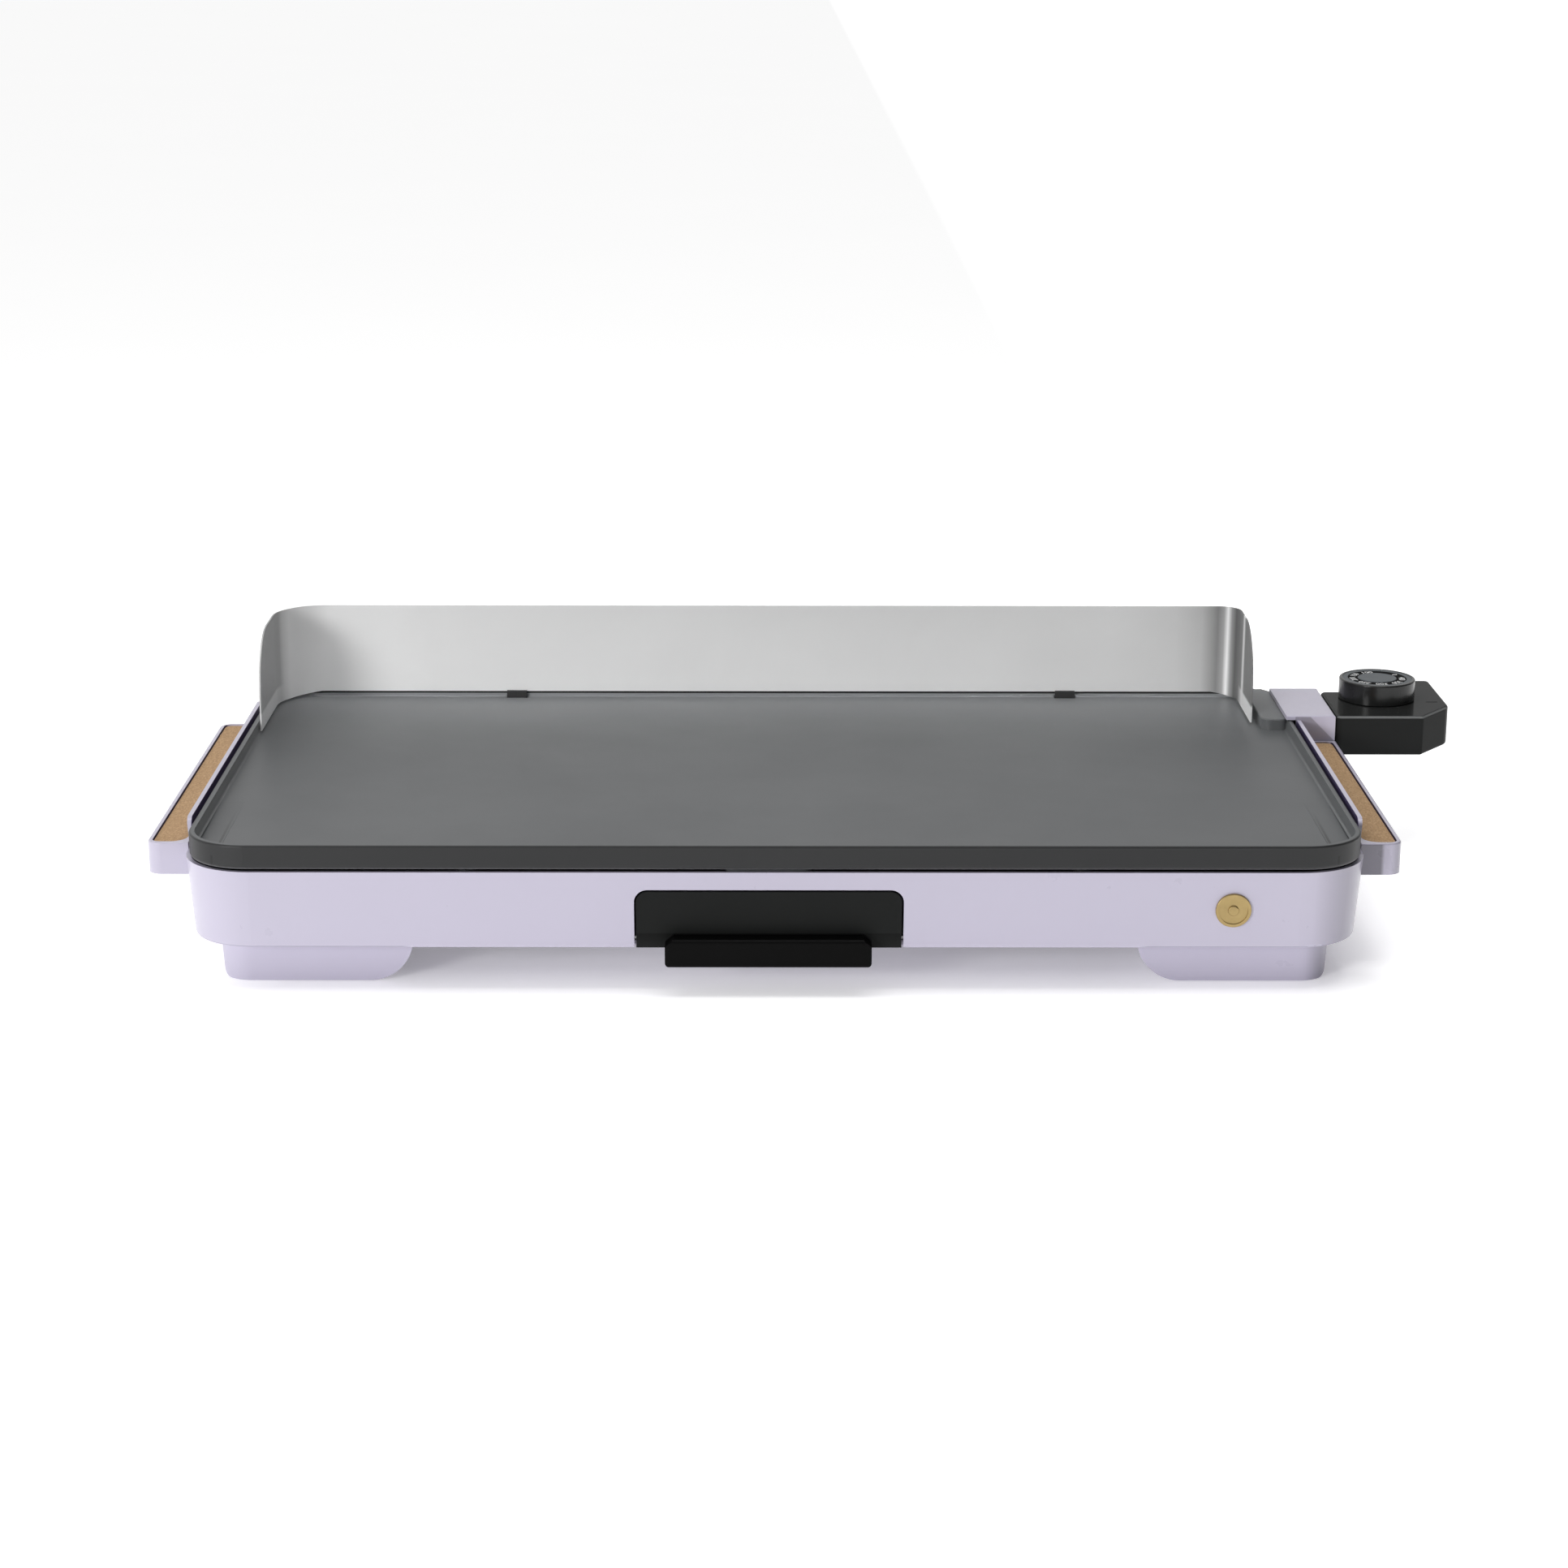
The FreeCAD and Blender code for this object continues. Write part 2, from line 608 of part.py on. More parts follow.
def foot_body(y, inset, low, high):
    """Filled foot with a swept inner end, shrunk by inset."""
    view = prism([(FOOT_X[0] + inset, low, FOOT_SWEEP - 2 * inset),
                  (FOOT_X[1] - FOOT_WALL - inset, low, 4.0),
                  (FOOT_X[1] - inset, high), (FOOT_X[0] + inset, high)],
                 y[0] + inset, y[1] - inset, "xz")
    plan = block((FOOT_X[0] - 20, FOOT_X[1] - inset), (y[0] + inset, y[1] - inset),
                 (low, high), 16.0 - inset)
    return view.common(plan)


def foot(side, end):
    """Hollow moulded foot, screwed up against the floor of the base."""
    top = BASE_BOTTOM
    y = sorted_span(end * FOOT_FRONT, end * (FOOT_FRONT - FOOT_DEPTH))
    hollow = foot_body(y, FOOT_WALL, FOOT_BOTTOM + 3.0, top + 1)
    shell = foot_body(y, 0.0, FOOT_BOTTOM, top).cut(hollow)
    seam = block((FOOT_X[0] - 5, FOOT_X[1] + 5), (y[0] - 5, y[1] + 5), (top - SEAM, top + 1))
    seam = seam.cut(block((FOOT_X[0] + SEAM, FOOT_X[1] - SEAM), (y[0] + SEAM, y[1] - SEAM),
                          (top - 1, top + 2), 15.0))
    places = [(abs(x), py) for x, py in foot_screw_places() if x > 0 and py * end > 0]
    bosses = [rod((x, py, FOOT_BOTTOM + 2), (x, py, top), 4.2) for x, py in places]
    holes = [rod((x, py, 8), (x, py, top + 1), 1.45) for x, py in places]
    shell = without(merged([shell] + bosses), holes + [pad_block(end, FIT), seam])
    return shell if side > 0 else mirrored(shell)


def pad_block(end, slack=0.0):
    x = around(PAD_X, PAD_HALF[0] + slack)
    y = around(end * (FOOT_FRONT - FOOT_DEPTH / 2), PAD_HALF[1] + slack)
    return block(x, y, (0.0, PAD_THICK), PAD_R + slack)


def foot_pads():
    pads = []
    for end in (-1, 1):
        pad = pad_block(end)
        pads += [pad, mirrored(pad)]
    return group(pads)


def foot_screws():
    return group([pan_screw((x, y, BASE_BOTTOM + FLOOR), (x, y, 9.0), 1.4, 3.0, 2.0)
                  for x, y in foot_screw_places()])


# ------------------------------------------------------------------ drip tray
def tray_rail(side):
    """Angle rail that carries one edge of the tray, with a stop at its back end."""
    low, high = BASE_BOTTOM + FLOOR, BASIN_Z[1] - 1.6 - GAP
    y = (BASIN_Y[0] + 5.0, BASIN_Y[1] + 6.0)
    upright = block((59.4, 61.2), y, (low, high))
    flange = block((61.2, 69.0), y, (low, low + 1.6))
    stop = block((57.0, 61.2), (BASIN_Y[1] + 3.0, y[1]), (low, BASIN_Z[1]))
    rail = merged([upright, flange, stop])
    rail = rail if side > 0 else mirrored(rail)
    rail.translate(V(TRAY_X, 0, 0))
    return rail


def drip_tray():
    x = around(TRAY_X, TRAY_HALF)
    panel = prism([(x[0], TRAY_Z[0]), (x[1], TRAY_Z[0]), (x[1], TRAY_Z[1], 5.5),
                   (x[0], TRAY_Z[1], 5.5)], -170, -100, "xz")
    behind = base_solid(BASE_BOTTOM - 1, BASE_TOP + 1, TRAY_PANEL)
    skin = base_solid(BASE_BOTTOM, BASE_TOP).cut(behind)
    panel = panel.common(skin)

    basin = block(around(TRAY_X, BASIN_HALF), BASIN_Y, BASIN_Z, 8.0)
    basin = softened(basin, 5.0, level_edge(BASIN_Z[0]))
    flanges = [block(around(TRAY_X, BASIN_HALF + 5.0), (BASIN_Y[0] + 4, BASIN_Y[1]),
                     (BASIN_Z[1] - 1.6, BASIN_Z[1]), 4.0)]
    hollow = block(around(TRAY_X, BASIN_HALF - 1.8), (BASIN_Y[0] + 1.6, BASIN_Y[1] - 1.8),
                   (BASIN_Z[0] + 1.8, BASIN_Z[1] + 1), 6.5)
    hollow = softened(hollow, 3.5, level_edge(BASIN_Z[0] + 1.8))

    # finger pull: an angle that stands proud of the panel and hangs below the base
    wall_y = -base_half(LIP_Z[1])[1] + 1.0
    side_view = prism([(wall_y, LIP_Z[1]), (LIP_FRONT, LIP_Z[1], 2.0), (LIP_FRONT, LIP_Z[0], 1.2),
                       (LIP_FRONT + 3.0, LIP_Z[0], 1.2), (LIP_FRONT + 3.0, LIP_Z[1] - 3.5, 1.5),
                       (wall_y, LIP_Z[1] - 3.5)],
                      *around(TRAY_X - 0.3, LIP_HALF), "yz")
    lip_x = around(TRAY_X - 0.3, LIP_HALF)
    front_view = prism([(lip_x[0], LIP_Z[0], 2.5), (lip_x[1], LIP_Z[0], 2.5),
                        (lip_x[1], LIP_Z[1] - 3.5), (lip_x[1] - 4, LIP_Z[1]),
                        (lip_x[0] + 4, LIP_Z[1]), (lip_x[0], LIP_Z[1] - 3.5)],
                       LIP_FRONT - 1, wall_y, "xz")
    lip = side_view.common(front_view)
    return merged([panel, basin, lip] + flanges).cut(hollow)


# ------------------------------------------------------------------ splash guard
def guard_ring(grow):
    """Plan of the guard grown outwards by grow, left open towards the cook."""
    left, right, back = GUARD_LEFT - grow, GUARD_RIGHT + grow, GUARD_BACK + grow
    front = 40.0 - grow
    corners = [(left, front), (right, front), (right, back, GUARD_BENDS[1] + grow),
               (left, back, GUARD_BENDS[0] + grow)]
    return prism(corners, WING_BOTTOM, GUARD_Z[1])


def splash_guard():
    sheet = guard_ring(SHEET).cut(guard_ring(0.0))
    keep = []
    for name, x in (("left", (-300, -60)), ("right", (60, 300))):
        front = WING_FRONT[name]
        keep.append(prism([(front, WING_BOTTOM), (170, WING_BOTTOM), (170, GUARD_Z[1]),
                           (front, GUARD_Z[1], WING_ROUND)], *x, "yz"))
    keep.append(block((-60, 60), (140, 170), (WING_BOTTOM, GUARD_Z[1])))
    sheet = sheet.common(merged(keep))
    # the lower edge climbs round each bend from the wing to the back
    left, right = GUARD_LEFT + 5, GUARD_RIGHT - 3
    under_back = prism([(left, 60), (right, 60), (right, WING_BOTTOM), (right - 11, GUARD_Z[0]),
                        (left + 17, GUARD_Z[0]), (left, WING_BOTTOM)], 130, 170, "xz")
    return sheet.cut(under_back)


def guard_feet():
    """Two small moulded feet clipped on the guard's lower edge, standing in the plate."""
    feet = []
    for x in GUARD_FEET_X:
        clip = block(around(x, GUARD_FOOT_HALF), (GUARD_BACK - 1.9, GUARD_BACK + 0.5),
                     GUARD_FOOT_Z)
        slot = block(around(x, GUARD_FOOT_HALF + 1), (GUARD_BACK, GUARD_BACK + SHEET + 1),
                     (GUARD_Z[0], 80))
        feet.append(clip.cut(slot))
    return group(feet)


# ------------------------------------------------------------------ temperature probe
def case_plan(inset=0.0):
    """Plan of the probe case: bevelled front corner, step at the back for the cord."""
    x0, x1 = CASE_X[0] + inset, CASE_X[1] - inset
    y0, y1, waist = CASE_Y[0] + inset, CASE_Y[1] - inset, CASE_WAIST_Y - inset
    slip = inset * 0.45
    small, large = 3.0 - inset * 0.5, 13.0 - inset
    return [(x0, y0, small), (355.5 - slip, y0, 1.5), (x1, 101.0 + slip, large), (x1, y1, small),
            (341.0 + slip, y1, small), (322.0 - slip + inset * 0.2, waist, small),
            (x0, waist, small)]


def case_solid(inset=0.0):
    """Case and nose as one filled shape, shrunk by inset on every side."""
    low, high = CASE_Z[0] + inset, CASE_Z[1] - inset
    body = prism(case_plan(inset), low, high)
    if inset == 0:
        body = softened(body, 1.6, level_edge(high))
        body = softened(body, 1.6, level_edge(low))
    nose = block((NOSE_X + inset, CASE_X[0] + 6), (NOSE_Y[0] + inset, NOSE_Y[1] - inset),
                 (NOSE_Z[0] + inset, NOSE_Z[1] - inset), 1.0)
    return merged([body, nose])


def probe_case(lower):
    low, high = (0, CASE_SPLIT) if lower else (CASE_SPLIT, 200)
    half = block((280, 380), (70, 170), (low, high))
    shell = case_solid().common(half).cut(case_solid(CASE_WALL))
    bosses = []
    for x, y in CASE_SCREWS:
        z = (CASE_Z[0] + 1, CASE_SPLIT) if lower else (CASE_SPLIT, CASE_Z[1] - 1)
        bosses.append(rod((x, y, z[0]), (x, y, z[1]), 4.2))
    shell = merged([shell] + bosses)
    cuts = [rod((280, y, HEAT_Z), (NOSE_X + 4, y, HEAT_Z), PIN_R + 0.6) for y in pin_ys()]
    cuts += [rod((SLEEVE_X[0] - FIT, y, HEAT_Z), (SLEEVE_X[1] + FIT, y, HEAT_Z), SLEEVE_R + FIT)
             for y in pin_ys()]
    cuts.append(rod((280, PROBE_Y, HEAT_Z), (312, PROBE_Y, HEAT_Z), ROD_R + FIT))
    cuts.append(rod((GLAND_XZ[0], 150, GLAND_XZ[1]), (GLAND_XZ[0], 170, GLAND_XZ[1]),
                    GLAND_R + FIT))
    for x, y in CASE_SCREWS:
        if lower:
            cuts.append(rod((x, y, 50), (x, y, CASE_Z[0] + 3), 3.0))
            cuts.append(rod((x, y, 50), (x, y, CASE_SPLIT + 1), 1.6))
        else:
            cuts.append(rod((x, y, CASE_SPLIT - 1), (x, y, CASE_SPLIT + 8), 1.4 + FIT))
    if not lower:
        x, y = KNOB_XY
        cuts.append(rod((x, y, 70), (x, y, 80), SHAFT_R + GAP))
        cuts.append(lens_block(FIT))
    return without(shell, cuts)


def lens_block(slack=0.0):
    """Slim window beside the dial, both index mark and lamp window."""
    return block((LENS_X[0] - slack, LENS_X[1] + slack), around(LENS_Y, 0.6 + slack),
                 (75.0, 80.0))


def indicator_lens():
    return lens_block().common(block((350, 380), (90, 130), (74.8, CASE_Z[1] - 0.1)))


def indicator_lamp():
    """Small glass neon lamp on its two leads, lying under the window."""
    bulb = rod((362.5, LENS_Y, 71.8), (371.0, LENS_Y, 71.8), 2.2)
    bulb = softened(bulb, 1.2, lambda e: abs(e.BoundBox.XMin - 371.0) < 1e-4)
    leads = [rod((355.0, LENS_Y + dy, 71.8), (362.6, LENS_Y + dy, 71.8), 0.35)
             for dy in (-1.0, 1.0)]
    return merged([bulb] + leads)


def probe_rod():
    bar = rod((ROD_TIP_X, PROBE_Y, HEAT_Z), (316.0, PROBE_Y, HEAT_Z), ROD_R)
    return softened(bar, 2.0, lambda e: abs(e.BoundBox.XMax - ROD_TIP_X) < 1e-4)


def probe_receptacles():
    """Split spring sleeves that grip the two terminal pins."""
    sleeves = []
    for y in pin_ys():
        mouth, end = SLEEVE_X
        sleeve = rod((mouth, y, HEAT_Z), (end, y, HEAT_Z), SLEEVE_R)
        sleeve = sleeve.cut(rod((mouth - 1, y, HEAT_Z), (end - 1.4, y, HEAT_Z), PIN_R + GAP))
        slit = block((mouth - 1, end - 5), around(y, 0.4), (HEAT_Z, HEAT_Z + 5))
        tail = block((end - 1, end + 6), around(y, 2.0), around(HEAT_Z, 0.5))
        sleeves.append(merged([sleeve.cut(slit), tail]))
    return group(sleeves)


def thermostat_frame():
    """Bracket that ties the sensing rod to the dial's screw."""
    foot_block = block((310.6, 318.0), (98.0, 112.0), (66.4, 68.6))
    arm = block((310.6, 343.0), (112.0, 124.0), (66.4, 68.6), 1.0)
    clamp = block((310.6, 315.0), (99.0, 111.0), (59.0, 66.4)).cut(
        rod((300, PROBE_Y, HEAT_Z), (320, PROBE_Y, HEAT_Z), ROD_R + FIT))
    x, y = KNOB_XY
    return merged([foot_block, arm, clamp]).cut(rod((x, y, 50), (x, y, 90), SHAFT_R + GAP))


def contact_leaf():
    """Bimetal leaf and contact spring, stacked on a ceramic block."""
    stack = block((320.0, 327.0), (97.0, 105.0), (58.3, 66.0), 0.8)
    leaves = [block((320.0, 352.0), (98.5, 103.5), (z, z + 0.5)) for z in (62.5, 66.0)]
    contacts = [rod((349.0, 101.0, 63.0), (349.0, 101.0, 64.2), 1.6),
                rod((349.0, 101.0, 64.8), (349.0, 101.0, 66.0), 1.6)]
    return merged([stack] + leaves + contacts)


def cord_gland():
    """Moulded gland in the back of the case; its bore takes a round mains cord."""
    x, z = GLAND_XZ
    back, inner = CASE_Y[1], CASE_Y[1] - CASE_WALL
    barrel = rod((x, inner - 1.6, z), (x, GLAND_END, z), GLAND_R)
    collar = rod((x, back + FIT, z), (x, back + 3.0, z), GLAND_R + 1.1)
    flange = rod((x, inner - 1.6, z), (x, inner - FIT, z), GLAND_R + 1.1)
    bore = rod((x, back - 10, z), (x, back + 10, z), GLAND_BORE_R)
    return merged([barrel, collar, flange]).cut(bore)


def case_screws():
    seat = CASE_Z[0] + 3
    return group([pan_screw((x, y, seat), (x, y, CASE_SPLIT + 7), 1.4, 2.7, 2.0)
                  for x, y in CASE_SCREWS])


# ------------------------------------------------------------------ dial
def at_knob(shape):
    shape.translate(V(KNOB_XY[0], KNOB_XY[1], 0))
    return shape


def ring(inner, outer, low, high):
    return Part.makeCylinder(outer, high - low, V(0, 0, low)).cut(
        Part.makeCylinder(inner, high - low + 2, V(0, 0, low - 1)))


def knob():
    low, high = KNOB_Z
    body = Part.makeCylinder(KNOB_R, high - low, V(0, 0, low))
    body = softened(body, 0.9, level_edge(high))
    body = body.cut(Part.makeCylinder(DIAL_RECESS_R, 5, V(0, 0, DIAL_FLOOR)))
    body = body.cut(ring(6.0, KNOB_R - 2.0, low - 1, high - KNOB_SKIN))
    bore = Part.makeCylinder(SHAFT_R + FIT, high - KNOB_SKIN - low + 1, V(0, 0, low - 1))
    return at_knob(body.cut(bore))


def trim_ring():
    return at_knob(ring(DIAL_RING[1] + 0.1, DIAL_RECESS_R - FIT, DIAL_FLOOR, KNOB_Z[1] - 0.2))


def dial_ring():
    return at_knob(ring(*DIAL_RING, DIAL_FLOOR, KNOB_Z[1] - 0.4))


def knob_cap():
    cap = Part.makeCylinder(DIAL_RING[0] - 0.1, 1.0, V(0, 0, DIAL_FLOOR))
    return at_knob(softened(cap, 0.35, level_edge(KNOB_Z[1])))


def knob_shaft():
    shaft = Part.makeCylinder(SHAFT_R, KNOB_Z[1] - KNOB_SKIN - 62.0, V(0, 0, 62.0))
    groove = ring(SHAFT_R - 0.6, SHAFT_R + 1, 74.4, 75.3)
    return at_knob(shaft.cut(groove))


def shaft_clip():
    """E-clip in the shaft's groove, under the lid of the case."""
    clip = ring(SHAFT_R - 0.55, 5.6, 74.45, 75.25)
    mouth = Part.makeBox(8, 3.2, 3, V(0, -1.6, 73.5))
    return at_knob(clip.cut(mouth))


# ------------------------------------------------------------------ badge
def badge():
    """Plain round medallion with a raised rim, stuck on the leaning front wall."""
    disc = Part.makeCylinder(BADGE_R, 1.3, V(0, 0, 0))
    disc = softened(disc, 0.4, level_edge(1.3))
    disc = disc.cut(Part.makeCylinder(BADGE_R - 1.6, 1.0, V(0, 0, 0.8)))
    button = Part.makeCylinder(2.6, 1.2, V(0, 0, 0.4))
    disc = merged([disc, softened(button, 0.5, level_edge(1.6))])
    lean = math.degrees(math.atan(BASE_SLOPE))
    disc.rotate(V(0, 0, 0), V(1, 0, 0), 90 + lean)
    x, z = BADGE_XZ
    disc.translate(V(x, -base_half(z)[1], z))
    return disc


# ------------------------------------------------------------------ whole object
def build():
    nodes = {
        "griddle_plate": griddle_plate(),
        "heating_element": heating_element(),
        "terminal_pins": terminal_pins(),
        "pin_bushes": pin_bushes(),
        "terminal_shield": terminal_shield(),
        "heat_reflector": heat_reflector(),
        "plate_spacers": plate_spacers(),
        "plate_screws": plate_screws(),
        "base_housing": base_housing(),
        "probe_hood": probe_hood(),
        "handle_left": handle(-1),
        "handle_right": handle(1),
        "cork_strip_left": cork_strip(-1),
        "cork_strip_right": cork_strip(1),
        "handle_screws": handle_screws(),
        "foot_pads": foot_pads(),
        "foot_screws": foot_screws(),
        "tray_rail_left": tray_rail(-1),
        "tray_rail_right": tray_rail(1),
        "badge": badge(),
        "drip_tray": drip_tray(),
        "splash_guard": splash_guard(),
        "guard_feet": guard_feet(),
        "probe_lower_case": probe_case(True),
        "probe_upper_case": probe_case(False),
        "probe_rod": probe_rod(),
        "probe_receptacles": probe_receptacles(),
        "thermostat_frame": thermostat_frame(),
        "contact_leaf": contact_leaf(),
        "indicator_lamp": indicator_lamp(),
        "indicator_lens": indicator_lens(),
        "cord_gland": cord_gland(),
        "case_screws": case_screws(),
        "knob": knob(),
        "trim_ring": trim_ring(),
        "dial_ring": dial_ring(),
        "knob_cap": knob_cap(),
        "knob_shaft": knob_shaft(),
        "shaft_clip": shaft_clip(),
    }
    for side, side_name in ((-1, "left"), (1, "right")):
        for end, end_name in ((-1, "front"), (1, "rear")):
            nodes[f"foot_{end_name}_{side_name}"] = foot(side, end)

    shift = V((HANDLE_OUT - CASE_X[1]) / 2, -(LIP_FRONT + GLAND_END) / 2, 0)
    for shape in nodes.values():
        shape.translate(shift)
    return nodes, shift


def main():
    os.makedirs("parts", exist_ok=True)
    nodes, _ = build()
    for name, shape in nodes.items():
        shape.exportStep(f"parts/{name}.step")
        print(f"{name:20s} solids {len(shape.Solids)} valid {shape.isValid()} "
              f"volume {shape.Volume / 1000:.2f} cm3")


if __name__ == "__main__":
    main()
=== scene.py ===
"""Looks of the electric griddle: finishes, dial numbers, floor, light and camera."""
import json
import math

import bmesh
import bpy
from mathutils import Matrix, Vector


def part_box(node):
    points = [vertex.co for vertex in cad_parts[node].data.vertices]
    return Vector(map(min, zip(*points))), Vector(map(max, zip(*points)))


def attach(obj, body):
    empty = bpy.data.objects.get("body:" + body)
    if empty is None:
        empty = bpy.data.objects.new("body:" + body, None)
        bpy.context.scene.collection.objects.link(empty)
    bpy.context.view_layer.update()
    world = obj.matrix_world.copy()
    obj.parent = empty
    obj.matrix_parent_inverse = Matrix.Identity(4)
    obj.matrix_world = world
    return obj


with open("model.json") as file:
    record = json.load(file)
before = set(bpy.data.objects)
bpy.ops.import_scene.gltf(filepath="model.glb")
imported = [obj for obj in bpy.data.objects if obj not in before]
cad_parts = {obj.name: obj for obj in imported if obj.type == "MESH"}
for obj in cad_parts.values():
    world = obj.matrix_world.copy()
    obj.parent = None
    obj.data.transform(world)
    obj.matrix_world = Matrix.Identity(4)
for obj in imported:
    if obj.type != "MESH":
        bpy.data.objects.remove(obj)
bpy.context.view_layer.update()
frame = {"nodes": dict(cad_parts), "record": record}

nodes = frame["nodes"]
MM = 0.001

# ------------------------------------------------------------------ places on the griddle
# In metres: X to the right, Y to the back, Z up from the floor. A distance outwards is measured
# along X from the middle of the plate, to either side.
PLATE_MIDDLE = (-33.1 * MM, -1.0 * MM)
PLATE_HALF = (284.5 * MM, 159.5 * MM)
PLATE_CORNER = 30 * MM
SURFACE = 69 * MM                           # height of the cooking surface
REAR_PAINTED_LIGHT = (40 * MM, 150 * MM)            # painted light: the surface grows lighter between these, in Y
GUTTER_EDGE = (269.2 * MM, 270.8 * MM)      # foot of the step beside each side gutter, outwards
GUTTER_Y = (-138 * MM, -78 * MM)            # from where that step is deepest to where it ends
LIT_STRIP_TOP = 71 * MM                         # height of the painted light strip under the guard
SHADOW_LINE_TOP = (73.6 * MM, 74.2 * MM)           # the painted black shadow line over it fades between these
GUARD_LEFT, GUARD_RIGHT, GUARD_BACK = -312.7 * MM, 230.0 * MM, 154.0 * MM
GUARD_LOW, GUARD_TOP = 78 * MM, 120 * MM
LEFT_BEND, RIGHT_BEND = 26 * MM, 11 * MM    # radii of the guard
LEFT_WING, RIGHT_WING = 71.5 * MM, 92 * MM  # front ends of the guard's wings, in Y
WING_EDGE = (78.6 * MM, 80.4 * MM)          # painted highlight along the lower edge of the wings, in Z
WING_BACK = (128 * MM, 142 * MM)            # that edge ends between these, in Y
RAIL_FACE = 286.4 * MM                      # side of the rails that faces the plate, outwards
RAIL_FOOT = 61.2 * MM                       # height where the rails rise from the base
CORK_OUTER = (304.8 * MM, 306.35 * MM)      # gap on the outer side of each cork, outwards
CORK_FRONT = -116.5 * MM
GRIP_BORDER = 63.9 * MM                     # height of the border round the cork
HOOD_FRONT = 76.8 * MM
RIGHT_FRONTS = 252.4 * MM                   # the right grip and the hood lie beyond this X
GRIP_SHADE = (297.6 * MM, 299.4 * MM)       # the shade on the grip's front ends here, outwards
HOOD_SHADE = (371.0 * MM, 371.7 * MM)       # slanting edge: distance outwards plus height
BASE_BOTTOM = 22.0 * MM
FOOT_INNER = 177 * MM                       # inner end of each foot, outwards
TRAY_FRONT = -155 * MM                      # the finger pull stands in front of this
PULL_TOP = 29.6 * MM


# ------------------------------------------------------------------ node material helper
class Finish:
    """A Principled material whose detail is worked out in the object's own space, in metres."""

    def __init__(self, name, **constants):
        self.material = bpy.data.materials.new(name)
        self.material.use_nodes = True
        self.tree = self.material.node_tree
        self.shader = self.tree.nodes["Principled BSDF"]
        self.place = self.tree.nodes.new("ShaderNodeTexCoord").outputs["Object"]
        for socket, value in constants.items():
            self.shader.inputs[socket.replace("_", " ")].default_value = value

    def link(self, value, socket):
        """Joins an output to an input, or sets the input to a plain value."""
        if isinstance(value, bpy.types.NodeSocket):
            self.tree.links.new(value, socket)
        else:
            socket.default_value = value

    def stretched(self, scale):
        """The object's own space, or that space scaled along its axes."""
        if scale is None:
            return self.place
        node = self.tree.nodes.new("ShaderNodeMapping")
        node.inputs["Scale"].default_value = scale
        self.link(self.place, node.inputs["Vector"])
        return node.outputs["Vector"]

    def noise(self, size, detail=3.0, roughness=0.55, stretch=None, distortion=0.0):
        """Noise whose blobs are about size metres across; 0 to 1."""
        node = self.tree.nodes.new("ShaderNodeTexNoise")
        node.inputs["Scale"].default_value = 1.0 / size
        node.inputs["Detail"].default_value = detail
        node.inputs["Roughness"].default_value = roughness
        node.inputs["Distortion"].default_value = distortion
        self.link(self.stretched(stretch), node.inputs["Vector"])
        return node.outputs["Fac"]

    def cells(self, size, output="Distance", stretch=None):
        """Irregular cells about size metres across."""
        node = self.tree.nodes.new("ShaderNodeTexVoronoi")
        node.inputs["Scale"].default_value = 1.0 / size
        self.link(self.stretched(stretch), node.inputs["Vector"])
        return node.outputs[output]

    def ramp(self, value, *stops):
        """Maps a value through (position, colour or grey) stops."""
        node = self.tree.nodes.new("ShaderNodeValToRGB")
        while len(node.color_ramp.elements) < len(stops):
            node.color_ramp.elements.new(0.5)
        for element, (position, colour) in zip(node.color_ramp.elements, stops):
            element.position = position
            element.color = (*colour, 1) if isinstance(colour, tuple) else (colour,) * 3 + (1,)
        self.link(value, node.inputs["Fac"])
        return node.outputs["Color"]

    def span(self, value, low, high, start=0.0, end=1.0):
        """Maps start..end of a value to low..high, and stops at both."""
        node = self.tree.nodes.new("ShaderNodeMapRange")
        node.inputs["From Min"].default_value = start
        node.inputs["From Max"].default_value = end
        node.inputs["To Min"].default_value = low
        node.inputs["To Max"].default_value = high
        self.link(value, node.inputs["Value"])
        return node.outputs["Result"]

    def rise(self, value, start, end):
        """0 before start, 1 after end."""
        return self.span(value, 0.0, 1.0, start, end)

    def fall(self, value, start, end):
        """1 before start, 0 after end."""
        return self.span(value, 1.0, 0.0, start, end)

    def maths(self, kind, a, b=None):
        node = self.tree.nodes.new("ShaderNodeMath")
        node.operation = kind
        self.link(a, node.inputs[0])
        if b is not None:
            self.link(b, node.inputs[1])
        return node.outputs["Value"]

    def times(self, first, *others):
        """Product of two or more values."""
        for other in others:
            first = self.maths("MULTIPLY", first, other)
        return first

    def blend(self, factor, a, b):
        node = self.tree.nodes.new("ShaderNodeMix")
        node.data_type = "RGBA"
        self.link(factor, node.inputs["Factor"])
        for value, socket in ((a, node.inputs["A"]), (b, node.inputs["B"])):
            self.link((*value, 1) if isinstance(value, tuple) else value, socket)
        return node.outputs["Result"]

    def darken(self, factor, colour):
        """Takes a colour towards black by factor."""
        return self.blend(factor, colour, BLACK)

    def axis(self, letter):
        node = self.tree.nodes.new("ShaderNodeSeparateXYZ")
        self.link(self.place, node.inputs["Vector"])
        return node.outputs[letter]

    def facing(self, letter):
        """How far the surface faces along an axis, -1 to 1."""
        split = self.tree.nodes.new("ShaderNodeSeparateXYZ")
        normal = self.tree.nodes.new("ShaderNodeTexCoord").outputs["Normal"]
        self.link(normal, split.inputs["Vector"])
        return split.outputs[letter]

    def away(self, letter):
        """Distance from the middle of the plate along X or Y."""
        middle = PLATE_MIDDLE["XY".index(letter)]
        return self.maths("ABSOLUTE", self.maths("SUBTRACT", self.axis(letter), middle))

    def edge_wear(self):
        """1 along outer edges, 0 elsewhere."""
        node = self.tree.nodes.new("ShaderNodeNewGeometry")
        return self.rise(node.outputs["Pointiness"], 0.56, 0.66)

